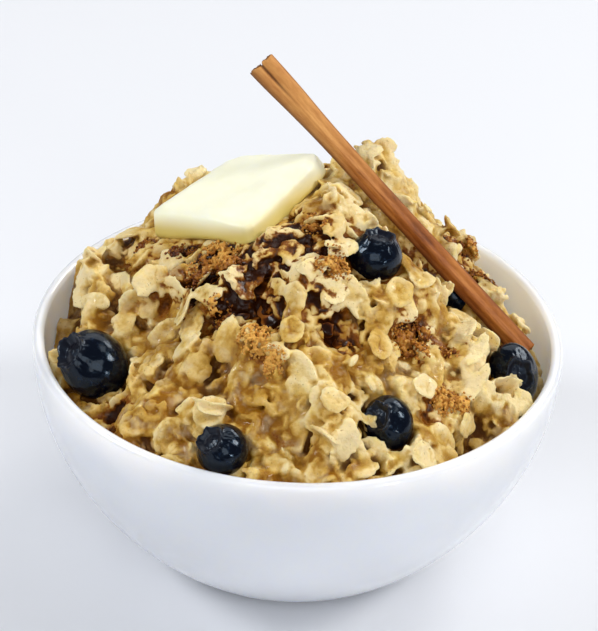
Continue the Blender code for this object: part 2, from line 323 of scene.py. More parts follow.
class Value:
    """A number socket of a node tree, on which + - and * add Math nodes."""

    def __init__(self, paint, socket):
        self.paint = paint
        self.socket = socket

    def with_other(self, operation, first, second):
        """One Math node on two numbers or sockets."""
        return self.paint.node("ShaderNodeMath", {"operation": operation}, {0: first, 1: second})

    def __add__(self, other):
        return self.with_other("ADD", self, other)

    def __sub__(self, other):
        return self.with_other("SUBTRACT", self, other)

    def __mul__(self, other):
        return self.with_other("MULTIPLY", self, other)

    def __rsub__(self, other):
        return self.with_other("SUBTRACT", other, self)

    __radd__ = __add__
    __rmul__ = __mul__


class Paint:
    """A material with one Principled shader, and the few ways in which nodes are added to it."""

    def __init__(self, name, **constants):
        self.material = bpy.data.materials.new(name)
        self.material.use_nodes = True
        self.tree = self.material.node_tree
        self.shader = self.tree.nodes["Principled BSDF"]
        for socket, value in constants.items():
            self.shader.inputs[socket.replace("_", " ")].default_value = value

    def node(self, kind, settings=None, inputs=None, output=0):
        """Any node: its settings first, then the values or links of its sockets."""
        made = self.tree.nodes.new(kind)
        for key, value in (settings or {}).items():
            if key == "stops":
                self.set_stops(made.color_ramp, value)
            else:
                setattr(made, key, value)
        for key, value in (inputs or {}).items():
            self.feed(made.inputs[key], value)
        return Value(self, made.outputs[output])

    def feed(self, socket, value):
        """Links a socket, or sets it to a constant."""
        if isinstance(value, Value):
            self.tree.links.new(value.socket, socket)
        else:
            socket.default_value = value

    def set_stops(self, ramp, stops):
        """Gives a colour ramp its stops, each a place and a colour."""
        while len(ramp.elements) < len(stops):
            ramp.elements.new(0.5)
        for element, (place, colour) in zip(ramp.elements, stops):
            element.position = place
            element.color = (*colour, 1)

    def place(self):
        """The piece's own coordinates."""
        return self.node("ShaderNodeTexCoord", output="Object")

    def noise(self, size, detail=2.0, roughness=0.5, vector=None, bend=0.0):
        """Noise from 0 to 1, with features of about one size."""
        inputs = {"Vector": vector or self.place(), "Scale": 1 / size, "Detail": detail}
        inputs.update({"Roughness": roughness, "Distortion": bend})
        return self.node("ShaderNodeTexNoise", None, inputs)

    def mark(self, name):
        """The number that the mesh holds at each point under this name."""
        return self.node("ShaderNodeAttribute", {"attribute_name": name}, output="Fac")

    def step(self, value, low, high):
        """3t^2 - 2t^3, with t from 0 at low to 1 at high."""
        settings = {"interpolation_type": "SMOOTHSTEP"}
        inputs = {"Value": value, "From Min": low, "From Max": high}
        return self.node("ShaderNodeMapRange", settings, inputs)

    def blend(self, share, first, second):
        """Colours: first (1 - share) + second share."""
        first, second = (c if isinstance(c, Value) else (*c, 1) for c in (first, second))
        settings = {"data_type": "RGBA"}
        return self.node("ShaderNodeMix", settings, {0: share, 6: first, 7: second}, output=2)

    def multiply(self, share, first, by):
        """Colours: first (1 - share) + first by share."""
        settings = {"data_type": "RGBA", "blend_type": "MULTIPLY"}
        return self.node("ShaderNodeMix", settings, {0: share, 6: first, 7: (*by, 1)}, output=2)

    def ramp(self, value, stops):
        """The colour at a value along stops."""
        return self.node("ShaderNodeValToRGB", {"stops": stops}, {"Fac": value})

    def bump(self, height, depth, strength=1.0):
        """Normals of a fine relief as deep as depth."""
        inputs = {"Height": height, "Distance": depth, "Strength": strength}
        return self.node("ShaderNodeBump", None, inputs)

    def finish(self, **links):
        """Feeds the shader's sockets and gives the finished material."""
        for socket, value in links.items():
            self.feed(self.shader.inputs[socket.replace("_", " ")], value)
        return self.material


# --- finishes ---


def glaze():
    """White glaze: lets a little light through, faintly uneven in colour and surface."""
    paint = Paint(
        "white_glaze", Subsurface_Weight=1.0, Subsurface_Scale=10 * MM, Subsurface_Radius=(1.0, 0.9, 0.7),
        Specular_IOR_Level=0.5, Coat_Weight=0.5, Coat_Roughness=0.04,
    )
    drift = paint.noise(40 * MM, 1)
    colour = paint.blend(drift, (0.84, 0.86, 0.89), (0.87, 0.885, 0.91))
    wave = paint.bump(paint.noise(14 * MM, 1), 0.10 * MM, 0.25)
    return paint.finish(Base_Color=colour, Roughness=0.16 + drift * 0.08, Normal=wave)


def oat_colour(paint):
    """Cream to tan by tint, paler on edges as painted highlight, brown in hollows as painted shade, and
    browned by sugar syrup and by painted shadow laid in with its stains.
    """
    tint, sunken, stain = paint.mark("tint"), paint.mark("sunken"), paint.mark("stain")
    hollow = paint.mark("hollow")
    broad = paint.noise(7 * MM, 2)
    fine = paint.noise(0.9 * MM, 3, 0.6)
    # the sunken and hollow terms make crevices browner and convex edges paler: painted shade and painted
    # highlight
    tone_and_painted_shade = tint + (broad - 0.5) * 0.9 + (fine - 0.5) * 0.36 + sunken * 0.3 + (hollow - 0.5) * 0.34
    oats = paint.ramp(tone_and_painted_shade, [
        (0.0, (0.85, 0.69, 0.37)), (0.3, (0.75, 0.545, 0.207)), (0.6, (0.56, 0.335, 0.068)),
        (1.0, (0.29, 0.118, 0.006)),
    ])
    specks = paint.step(paint.noise(0.6 * MM, 1, 0.5), 0.69, 0.76) * 0.6
    oats = paint.blend(specks, oats, (0.25, 0.12, 0.03))
    greyed = paint.step(paint.noise(4 * MM, 2), 0.50, 0.70)
    oats = paint.blend(greyed * 0.38, oats, (0.66, 0.54, 0.34))
    golden = paint.step(paint.noise(5 * MM, 3, bend=0.4), 0.52, 0.70)
    oats = paint.multiply(golden * 0.55, oats, (1.0, 0.93, 0.50))
    # painted shade: the deepest crevices go almost black-brown
    deep = paint.step(sunken * 0.75 + (hollow - 0.5) * 0.8, 0.36, 0.95)
    oats = paint.blend(deep * 0.94, oats, (0.075, 0.022, 0.001))
    spread = (paint.noise(2.2 * MM, 3, 0.6) - 0.5) * 0.9
    # the hollow term adds painted shade to the syrup browns, and the stains bring the stick's painted shadow
    brown = paint.step(stain + spread + (hollow - 0.5) * 0.5, 0.25, 0.95)
    syrup = paint.ramp(brown, [
        (0.0, (0.51, 0.265, 0.050)), (0.45, (0.23, 0.070, 0.005)), (1.0, (0.028, 0.006, 0.001)),
    ])
    return paint.blend(paint.step(brown, 0.0, 0.45), oats, syrup), brown, fine, deep


def porridge_finish():
    """Swollen oats: moist, a little see-through, with a fine grain."""
    paint = Paint(
        "porridge", Subsurface_Weight=0.40, Subsurface_Scale=1.3 * MM, Subsurface_Radius=(1.0, 0.8, 0.45),
        Specular_IOR_Level=0.09, Coat_Roughness=0.08,
    )
    colour, brown, fine, deep = oat_colour(paint)
    grain = fine * 0.5 + paint.noise(0.5 * MM, 2, 0.6) * 0.18 + paint.noise(2.0 * MM, 3, 0.65) * 0.35
    relief = paint.bump(grain, 0.60 * MM)
    damp = paint.step(paint.noise(2.4 * MM, 2), 0.42, 0.68)
    return paint.finish(
        Base_Color=colour, Roughness=0.46 - damp * 0.16 - brown * 0.28, Normal=relief,
        Coat_Weight=(damp * 0.35 + brown * 0.12) * (1 - deep * 0.85),
    )


def syrup_finish():
    """Brown sugar syrup: amber where thin, nearly black where deep."""
    paint = Paint(
        "sugar_syrup", Roughness=0.25, Coat_Weight=0.12, Coat_Roughness=0.05, Specular_IOR_Level=0.12,
    )
    deep = paint.step(paint.mark("depth"), 0.0, 1.0)
    colour = paint.ramp(deep, [
        (0.0, (0.26, 0.080, 0.008)), (0.4, (0.09, 0.020, 0.002)), (1.0, (0.016, 0.004, 0.001)),
    ])
    return paint.finish(Base_Color=colour, Normal=paint.bump(paint.noise(1.6 * MM, 2), 0.25 * MM, 0.6))


def sugar_finish():
    """Damp brown sugar: golden grains, dark red-brown where it has drawn syrup."""
    paint = Paint(
        "brown_sugar", Subsurface_Weight=0.12, Subsurface_Scale=0.6 * MM, Coat_Weight=0.05,
        Specular_IOR_Level=0.15,
    )
    wet = paint.mark("wet") + (paint.noise(0.7 * MM, 2, 0.6) - 0.5) * 0.7
    colour = paint.ramp(wet, [
        (0.0, (0.72, 0.39, 0.085)), (0.35, (0.43, 0.17, 0.022)), (0.7, (0.16, 0.042, 0.006)),
        (1.0, (0.045, 0.010, 0.002)),
    ])
    return paint.finish(Base_Color=colour, Roughness=0.45 - wet * 0.2)


def butter_finish():
    """Soft butter: pale yellow, smooth and slightly see-through."""
    paint = Paint(
        "butter", Subsurface_Weight=0.30, Subsurface_Scale=2.5 * MM, Subsurface_Radius=(1.0, 0.9, 0.4),
        Coat_Weight=0.1, Coat_Roughness=0.2,
    )
    drift = paint.noise(7 * MM, 2, 0.5, bend=0.5)
    colour = paint.blend(drift, (0.98, 0.95, 0.66), (0.98, 0.97, 0.80))
    # the lower sides go a deeper, darker yellow: partly melting butter, partly painted shade
    colour = paint.blend(paint.mark("melt"), colour, (0.70, 0.55, 0.14))
    soft = paint.bump(paint.noise(2.5 * MM, 2), 0.18 * MM, 0.35)
    return paint.finish(Base_Color=colour, Roughness=0.38 + drift * 0.12, Normal=soft)


def bark_finish():
    """Cinnamon bark: orange-brown with long fibres and darker streaks, read along its own length, and painted
    shade on its flanks and in its crease.
    """
    paint = Paint("cinnamon_bark", Specular_IOR_Level=0.3)
    along = paint.node("ShaderNodeUVMap", {"uv_map": "along"})
    fibres = paint.node("ShaderNodeMapping", None, {"Vector": along, "Scale": (420, 9, 1)})
    streaks = paint.node("ShaderNodeMapping", None, {"Vector": along, "Scale": (90, 3.0, 1)})
    fine = paint.noise(1.0, 4, 0.7, fibres)
    broad = paint.noise(1.0, 3, 0.6, streaks)
    patch = paint.noise(9 * MM, 3, 0.6)
    mixed = fine * 0.5 + broad * 0.4 + patch * 0.1
    tip = paint.step(paint.node("ShaderNodeSeparateXYZ", None, {"Vector": along}, output=1), 0.35, 0.9)
    lower = paint.ramp(mixed, [
        (0.32, (0.075, 0.015, 0.002)), (0.45, (0.28, 0.078, 0.012)), (0.56, (0.44, 0.150, 0.026)),
        (0.72, (0.62, 0.28, 0.068)),
    ])
    upper = paint.ramp(mixed, [
        (0.30, (0.20, 0.060, 0.011)), (0.44, (0.49, 0.19, 0.042)), (0.56, (0.64, 0.30, 0.082)),
        (0.72, (0.80, 0.47, 0.16)),
    ])
    colour = paint.blend(tip, lower, upper)
    # painted shade on the flanks and in the crease
    colour = paint.blend(paint.mark("dark"), colour, (0.085, 0.022, 0.005))
    ridges = paint.bump(mixed, 0.35 * MM, 0.8)
    return paint.finish(Base_Color=colour, Roughness=0.5 + fine * 0.2, Normal=ridges)


def berry_finish():
    """Blueberry skin: nearly black navy, wet, with a broken trace of waxy bloom."""
    paint = Paint(
        "blueberry_skin", Coat_Weight=0.22, Coat_Roughness=0.02, Specular_IOR_Level=0.20,
        Specular_Tint=(0.45, 0.72, 1.0, 1.0),
    )
    bloom = paint.step(paint.noise(2.6 * MM, 3, 0.65, bend=0.6), 0.52, 0.74)
    colour = paint.blend(bloom * 0.5, (0.0016, 0.0026, 0.0070), (0.009, 0.020, 0.046))
    dry = paint.mark("crown")
    colour = paint.blend(dry * 0.6, colour, (0.008, 0.006, 0.010))
    pits = paint.bump(paint.noise(0.9 * MM, 3, 0.6), 0.16 * MM, 0.5)
    return paint.finish(Base_Color=colour, Roughness=0.12 + bloom * 0.2 + dry * 0.2, Normal=pits)


def floor_finish():
    """A pale matt ground, hardly uneven."""
    paint = Paint("pale_floor", Roughness=0.55, Specular_IOR_Level=0.25)
    colour = paint.blend(paint.noise(0.4, 1), (0.765, 0.775, 0.81), (0.775, 0.785, 0.82))
    return paint.finish(Base_Color=colour)


# --- the bowl ---


def outer_wall(t):
    """Points and outward normals of the outer wall: the cubic curve from the foot (t = 0) to the lip (t = 1)
    that a (1-t)^3 + 3 b (1-t)^2 t + 3 c (1-t) t^2 + d t^3 gives."""
    lip = BOWL_HEIGHT - WALL_AT_LIP / 2
    a, b = np.array(((FOOT_RADIUS, 0), (FOOT_RADIUS + 3 * MM, 0)))
    c, d = np.array(((BOWL_RADIUS, 24 * MM), (BOWL_RADIUS, lip)))
    t = np.asarray(t)[:, None]
    u = 1 - t
    place = a * u**3 + b * 3 * u * u * t + c * 3 * u * t * t + d * t**3
    along = (b - a) * u * u + (c - b) * 2 * u * t + (d - c) * t * t
    across = np.stack([along[:, 1], -along[:, 0]], -1)
    return place, across / np.linalg.norm(across, axis=1, keepdims=True)


def inner_wall(t):
    """The outer wall moved in by a thickness that falls from the foot's to the lip's."""
    place, across = outer_wall(t)
    thick = WALL_AT_FOOT + (WALL_AT_LIP - WALL_AT_FOOT) * np.minimum(1, 1.4 * np.asarray(t))
    return place - across * thick[:, None]


WALL_CURVE = inner_wall(np.linspace(0, 1, 200))


def inner_radius(z):
    """How far the bowl's inside is from its axis at a height."""
    return np.interp(z, WALL_CURVE[:, 1], WALL_CURVE[:, 0])


def arc(middle, radius, start, end, count):
    """Points of a circle's arc: middle + radius (cos a, sin a), a in degrees."""
    a = np.radians(np.linspace(start, end, count))
    return np.array(middle) + radius * np.stack([np.cos(a), np.sin(a)], -1)


def bowl_piece():
    """The bowl's profile (r, z) turned round Z: inside floor and wall, lip, outside, foot ring, recess."""
    up = np.linspace(0, 1, 44)
    lip_middle = (inner_wall([1.0])[0] + outer_wall([1.0])[0][0]) / 2
    ring, hub = FOOT_RADIUS - FOOT_RING, 8 * MM
    floor = np.stack([np.linspace(hub, FOOT_RADIUS - 3 * MM, 6), np.full(6, WALL_AT_FOOT)], -1)
    profile = np.concatenate([
        floor, inner_wall(up), arc(lip_middle, WALL_AT_LIP / 2, 168, 12, 12), outer_wall(up[::-1])[0],
        arc((ring + 0.6 * MM, 0.6 * MM), 0.6 * MM, 270, 195, 5),
        arc((ring - 1.4 * MM, RECESS - 0.5 * MM), 0.5 * MM, 5, 90, 5),
        ((20 * MM, RECESS), (hub, RECESS)),
    ])
    a = np.linspace(0, TAU, 176, endpoint=False)
    r, z = profile[:, 0][:, None], profile[:, 1][:, None]
    rings = np.stack([r * np.cos(a), r * np.sin(a), z + 0 * a], -1)[None]
    points, faces = shells(rings, np.array([[0, 0, WALL_AT_FOOT]]), np.array([[0, 0, RECESS]]))
    make_piece("white_bowl", points, faces, glaze(), "bowl")


# --- the heap ---


def by_direction(table, degrees):
    """A table in millimetres by direction, read round the circle."""
    at, value = zip(*(list(table) + [(table[0][0] + 360, table[0][1])]))
    return np.interp(degrees % 360, at, value) * MM


def heap_height(x, y):
    """The CAD's heap: z = w + (P - w) (1 + cos(pi s^1.6)) / 2 + lumps, with w the level near the wall,
    P the peak and s the share of the way from the peak to the mound's edge."""
    degrees = np.degrees(np.arctan2(y, x)) % 360
    inward = np.maximum(0, MOUND_RADIUS - np.hypot(x, y))
    z = by_direction(EDGE_LEVEL, degrees)
    z = z + by_direction(EDGE_RISE, degrees) * (1 - np.exp(-inward / (5 * MM)))
    side = np.where(x < PEAK[0], REACH["left"], REACH["right"])
    depth = np.where(y < PEAK[1], REACH["front"], REACH["back"])
    out = np.clip(np.hypot((x - PEAK[0]) / side, (y - PEAK[1]) / depth), 0, 1)
    z = z + (PEAK[2] - z) * (0.5 + 0.5 * np.cos(math.pi * out**1.6))
    for lump_x, lump_y, radius, height in LUMPS:
        away = (x - lump_x * MM) ** 2 + (y - lump_y * MM) ** 2
        z = z + height * MM * np.exp(-away / (0.9 * (radius * MM) ** 2))
    return z


def upright(field):
    """Unit normals of a blurred height map, turned upright close to the bowl's wall."""
    soft = blur(field, 3.0 * MM)
    dy, dx = np.gradient(soft, STEP)
    fade = smooth(66 * MM, 58 * MM, np.hypot(GX, GY))
    n = np.stack([-dx * fade, -dy * fade, np.ones_like(dx)], -1)
    return n / np.linalg.norm(n, axis=-1, keepdims=True)


BASE = np.stack([GX, GY, heap_height(GX, GY)], -1)
OUT = upright(BASE[..., 2])


def surface(field, x, y):
    """The points of the heap raised by a map along its normals, at any places (x, y)."""
    return read(BASE, x, y) + read(OUT, x, y) * read(field, x, y)[..., None]


def raised(field):
    """The heap's grid of points raised by a map along their normals."""
    return BASE + OUT * field[..., None]


def facing(field, x, y, reach=1.0 * MM):
    """Unit normals of the raised heap: the cross product of its slopes along x and y."""
    along_x = surface(field, x + reach, y) - surface(field, x - reach, y)
    along_y = surface(field, x, y + reach) - surface(field, x, y - reach)
    n = np.cross(along_x, along_y)
    return n / np.linalg.norm(n, axis=-1, keepdims=True)


def lifted(field, x, y, lift):
    """Points a lift in millimetres off the raised heap, along its normals."""
    return surface(field, x, y) + facing(field, x, y) * (lift * MM)[:, None]


def round_spot(x, y, reach, a, q):
    """Places at the angles a and at the shares q of a reach round a spot given in millimetres."""
    return (x + q * reach * np.cos(a)) * MM, (y + q * reach * np.sin(a)) * MM


def clumps(rng):
    """The relief of clumps: each place takes the highest of many domes h - c (d / r)^2.4, with its
    distances bent by noise, and deep creases are left between them."""
    spacing = 9.0 * MM
    rows = np.arange(-68 * MM, 68 * MM, spacing)
    cx, cy = (c.ravel() for c in np.meshgrid(rows, rows))
    cx = cx + rng.uniform(-0.45, 0.45, cx.shape) * spacing
    cy = cy + rng.uniform(-0.45, 0.45, cy.shape) * spacing
    reach = rng.uniform(5.5, 9.5, cx.shape) * MM
    high = rng.uniform(-0.4, 1.8, cx.shape) * MM
    px, py, pr, ph = (np.array(column) * MM for column in zip(*PALE_CLUMPS))
    cx, cy, reach, high = (np.concatenate(pair) for pair in ((cx, px), (cy, py), (reach, pr), (high, ph)))
    bent_x = GX + 2.6 * MM * ragged(GX, GY, 0 * GX, 9 * MM, 5)
    bent_y = GY + 2.6 * MM * ragged(GX, GY, 0 * GX, 9 * MM, 9)
    hills = np.full(GX.shape, -4.0 * MM)
    for x, y, r, h in zip(cx, cy, reach, high):
        far = np.hypot(bent_x - x, bent_y - y) / r
        hills = np.maximum(hills, h - 4.6 * MM * far**2.4)
    return blur(hills, 0.45 * MM)


class Flakes:
    """A set of oat flakes: where each lies, how it is turned, and its shape, one array entry a flake."""

    def __init__(self, x, y, ground, rng, length, width, lift, tilt, cup, thick=(0.8, 1.3)):
        """One flake on the ground at each place. Pairs are ranges in millimetres, apart from tilt, which is a
        mean and a spread in degrees."""
        n = len(x)
        self.at = np.stack([x, y], -1)
        self.length = rng.uniform(*length, n) * MM
        self.width = rng.uniform(*width, n) * MM
        self.thick = rng.uniform(*thick, n) * MM
        self.cup = rng.uniform(*cup, n) * MM * rng.choice((-1, 1, 1), n)
        self.bend = rng.uniform(-0.8, 0.8, n) * MM
        self.waves = rng.normal(0, 1, (n, len(WAVES))) * 0.085 / WAVES**0.9
        self.phases = rng.uniform(0, TAU, (n, len(WAVES)))
        self.notches = rng.uniform(0, TAU, (n, 3))
        self.notch_depth = rng.uniform(0, 0.25, (n, 3)) * (rng.random((n, 3)) < 0.4)
        self.tint = rng.uniform(0, 1, n)
        up = facing(ground, x, y, 3.5 * MM)
        self.x, self.y, self.z = frames(up, rng.uniform(0, TAU, n), np.radians(rng.normal(*tilt, n)))
        self.middle = surface(ground, x, y) + up * (rng.uniform(*lift, n) * MM)[:, None]

    def some(self, which):
        """The flakes that a mask or a slice picks."""
        picked = object.__new__(Flakes)
        for key, value in vars(self).items():
            setattr(picked, key, value[which])
        return picked

    def edge(self, a):
        """Each outline's share of its oval at angles a (N, A): 1 + waves - notches."""
        wave = (self.waves[:, None] * np.cos(WAVES * a[..., None] + self.phases[:, None])).sum(-1)
        apart = np.abs((a[..., None] - self.notches[:, None] + math.pi) % TAU - math.pi)
        notch = (self.notch_depth[:, None] * np.exp(-((apart / 0.14) ** 2))).sum(-1)
        return 1 + wave - notch

    def sheet(self, x, y):
        """The height of each flake's middle sheet: cup (2x/L)^2 + bend (2y/W)^2, a slant wave, and a groove
        along y = 0."""
        each = (-1,) + (1,) * (x.ndim - 1)
        u, v = 2 * x / self.length.reshape(each), 2 * y / self.width.reshape(each)
        cup, bend = self.cup.reshape(each), self.bend.reshape(each)
        groove = 0.25 * MM * np.exp(-((v / 0.16) ** 2)) * (1 - np.clip(np.abs(u), 0, 1) ** 2)
        return cup * u * u + bend * v * v + 0.35 * bend * np.sin(3 * u + 2 * v) - groove

    def rings(self, around, shares):
        """Rings (N, rows, around, 3) and end points: out over the top face, then back under the bottom.
        Each face lies T/2 sqrt(1 - q^4) off the middle sheet, q being the share of the way out."""
        a = np.linspace(0, TAU, around, endpoint=False)
        q = np.concatenate([shares, [1.0], shares[::-1][:1]])
        side = np.concatenate([np.ones(len(shares)), [0.0], [-1.0]])
        edge = self.edge(np.broadcast_to(a, (len(self.length), around)))
        reach = q[None, :, None] * (1 + (edge[:, None] - 1) * q[None, :, None] ** 2)
        x = reach * np.cos(a) * self.length[:, None, None] / 2
        y = reach * np.sin(a) * self.width[:, None, None] / 2
        half = np.sqrt(1 - q**4) * side
        z = self.sheet(x, y) + half[None, :, None] * self.thick[:, None, None] / 2
        ends = np.zeros((len(self.length), 2, 3))
        ends[..., 2] = self.sheet(ends[..., 0], ends[..., 1]) + self.thick[:, None] / 2 * np.array((1, -1))
        return self.to_world(np.stack([x, y, z], -1)), self.to_world(ends)

    def to_world(self, local):
        """Each flake's own points turned by its axes and moved to its middle."""
        axes = np.stack([self.x, self.y, self.z], 1)
        flat = local.reshape(local.shape[0], -1, 3)
        return (self.middle[:, None] + np.einsum("nki,nij->nkj", flat, axes)).reshape(local.shape)

    def stamp(self, relief, tint):
        """Raises the relief to each flake's upper face, found along the heap's normals, and notes the
        flake's tint there."""
        for i in range(len(self.length)):
            reach = 0.66 * self.length[i]
            i0, i1 = np.searchsorted(AXIS, (self.at[i, 0] - reach, self.at[i, 0] + reach))
            j0, j1 = np.searchsorted(AXIS, (self.at[i, 1] - reach, self.at[i, 1] + reach))
            base, out = BASE[j0:j1, i0:i1] - self.middle[i], OUT[j0:j1, i0:i1]
            lean = out @ self.z[i]
            if base.size == 0 or lean.min() < 0.3:
                continue
            up = -(base @ self.z[i]) / lean
            hit = base + out * up[..., None]
            u, v = hit @ self.x[i], hit @ self.y[i]
            one = self.some(slice(i, i + 1))
            a = np.arctan2(v / self.width[i], u / self.length[i])
            share = np.hypot(2 * u / self.length[i], 2 * v / self.width[i]) / one.edge(a[None])[0]
            face = one.sheet(u[None], v[None])[0] + self.thick[i] / 2 * np.sqrt(np.clip(1 - share**4, 0, 1))
            height = np.where(share < 1, up + face / lean, -1)
            part, marks = relief[j0:j1, i0:i1], tint[j0:j1, i0:i1]
            marks[:] = np.where(height > part, self.tint[i], marks)
            part[:] = np.maximum(part, height)


def scattered(spacing, rng, reach=65.0):
    """Places on a jittered six-sided lattice inside a circle."""
    s = spacing * MM
    rows = np.arange(-reach * MM, reach * MM, s * 0.866)
    gx, gy = np.meshgrid(np.arange(-reach * MM, reach * MM, s), rows)
    gx = gx + np.where(np.arange(len(rows)) % 2, s / 2, 0)[:, None]
    gx, gy = (c.ravel() + rng.uniform(-0.45, 0.45, c.size) * s for c in (gx, gy))
    inside = np.hypot(gx, gy) < reach * MM
    return gx[inside], gy[inside]


def berry_places():
    """Middles and radii of the berries, from the frame."""
    low, high = np.array([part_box(f"blueberry_{i + 1}") for i in range(len(CROWNS))]).transpose(1, 0, 2)
    return (low + high) / 2, (high - low).max(axis=1) / 2


BERRY_MIDDLES, BERRY_RADII = berry_places()
BERRIES = tuple(zip(BERRY_MIDDLES, BERRY_RADII, BERRY_SHOWS, BERRY_CLEAR))


def butter_axes():
    """The butter's middle, its three axes and its half sides."""
    along, across = BUTTER_FRONT - BUTTER_LEFT, BUTTER_RIGHT - BUTTER_FRONT
    up = np.cross(along, across)
    up /= np.linalg.norm(up)
    x = along / np.linalg.norm(along)
    middle = (BUTTER_LEFT + BUTTER_RIGHT) / 2 - up * BUTTER_THICK / 2
    half = np.array((np.linalg.norm(along), np.linalg.norm(across), BUTTER_THICK)) / 2
    return middle, np.stack([x, np.cross(up, x), up]), half


BUTTER_MIDDLE, BUTTER_AXES, BUTTER_HALF = butter_axes()


def stick_across():
    """The direction across the stick as seen from the eye, on its upper side."""
    across = np.cross(EYE, STICK_LINE)
    return across * (np.sign(across @ UPRIGHT) / np.linalg.norm(across))


STICK_ACROSS = stick_across()


def beside_stick(points):
    """For each point: the share t of the stick's length beside it, the way to it from the stick's foot, and
    what is left of that way without its part along the stick."""
    away = points - STICK_FOOT
    t = np.clip(away @ STICK_LINE / (STICK_LINE @ STICK_LINE), 0, 1)
    return t, away, away - t[..., None] * STICK_LINE


def clear_of_toppings(p, room):
    """True for the points that stay clear of berries, butter and stick by a room, and don't lie on the
    butter."""
    clear = np.ones(len(p), bool)
    for middle, radius in zip(BERRY_MIDDLES, BERRY_RADII):
        clear &= np.linalg.norm(p - middle, axis=1) > radius + 0.4 * room
    local = (p - BUTTER_MIDDLE) @ BUTTER_AXES.T
    beside = np.abs(local[:, :2]) - BUTTER_HALF[:2]
    clear &= (beside.max(axis=1) > room * 0.9) | (local[:, 2] < -BUTTER_HALF[2] - room * 0.3)
    return clear & (np.linalg.norm(beside_stick(p)[2], axis=1) > STICK_RADIUS + room)


def inside_bowl(points):
    """Draws points in to the bowl's inside where they would pass through its wall."""
    r = np.hypot(points[..., 0], points[..., 1])
    limit = np.where(points[..., 2] < BOWL_HEIGHT, inner_radius(points[..., 2]) - ROOM_AT_WALL, 1)
    share = np.minimum(1, limit / np.maximum(r, 1e-9))
    return points * np.stack([share, share, np.ones_like(share)], -1)


def spot(x, y, middle_x, middle_y, reach_x, reach_y=None):
    """exp(-q^2), q being the distance from a middle in reaches; one reach serves for both directions."""
    reach_y = reach_y or reach_x
    return np.exp(-(((x / MM - middle_x) / reach_x) ** 2 + ((y / MM - middle_y) / reach_y) ** 2))


def stain_and_shadow_at(x, y):
    """How much sugar syrup has soaked in: soft spots round the sugar, the pools and the stains, which also
    hold the stick's painted shadow and some painted shade.
    """
    total = 0
    for sx, sy, radius, _, wet in SUGAR:
        total = total + (0.30 + 0.40 * wet) * spot(x, y, sx, sy, radius * 1.1)
    for sx, sy, rx, ry in SYRUP:
        total = total + 0.55 * spot(x, y, sx, sy, rx * 1.15, ry * 1.15)
    for sx, sy, reach, share in STAINS_AND_PAINTED_SHADOW:
        total = total + share * spot(x, y, sx, sy, reach)
    return np.clip(total, 0, 1.2)


def pool_share(x, y):
    """1 in the middle of a syrup pool, 0 outside."""
    return np.max([spot(x, y, *pool) for pool in SYRUP], axis=0)


def gooeyness():
    """Where cream covers the flakes, from 0 to 1: wide noise, raised at the spots of the table GOOEY."""
    spots = np.max([spot(GX, GY, *place) for place in GOOEY], axis=0)
    return smooth(-0.35, 0.55, ragged(GX, GY, 0 * GX, 15 * MM, 21) + 0.8 * spots)


def porridge_relief(rng):
    """Heights along the heap's normals: clumps, then flakes pressed into them, then the cream that fills
    round the flakes and dries to fine wrinkles. The higher of flakes f and cream c shows, rounded where they
    meet: (f + c + sqrt((f - c)^2 + s^2)) / 2. Also gives the flakes' tints."""
    relief = clumps(rng)
    relief -= 4.0 * MM * smooth(0.25, 0.9, pool_share(GX, GY))
    relief -= 3.2 * MM * smooth(55 * MM, 64 * MM, np.hypot(GX, GY))
    relief += sum(high * MM * spot(GX, GY, x, y, reach) for x, y, reach, high in CHANGES)
    tint = np.full(GX.shape, 0.62)
    for spacing, length, width, tilt, lift in (
        (5.4, (9, 13), (6.5, 9), 18, (-1.2, 0.5)), (4.6, (6, 10), (4.5, 7), 22, (-0.8, 0.7)),
        (3.4, (2.5, 5.5), (1.6, 4), 28, (-0.2, 0.7)),
    ):
        x, y = scattered(spacing, rng, 67)
        pressed = Flakes(x, y, relief, rng, length, width, lift, (0, tilt), (0, 1.4))
        pressed.stamp(relief, tint)
    wet = gooeyness()
    fine = ragged(GX, GY, relief * 3, 2.4 * MM, 31)
    creased = 1 - np.abs(ragged(GX, GY, relief * 4, 4.0 * MM, 35)) * 3
    cream = blur(relief, 0.9 * MM) + (wet * 0.6 - 0.55) * MM + 0.34 * MM * fine + 0.22 * MM * creased
    softness = 0.25 * MM
    core = 0.5 * (relief + cream + np.sqrt((relief - cream) ** 2 + softness**2))
    tint = np.where(relief > cream, tint * 0.7, 0.55)
    lowered = press_down(core)
    bare = smooth(0.2 * MM, 1.2 * MM, core - lowered)
    return lowered + bare * 0.8 * MM * ragged(GX, GY, relief * 2, 3.4 * MM, 37), tint


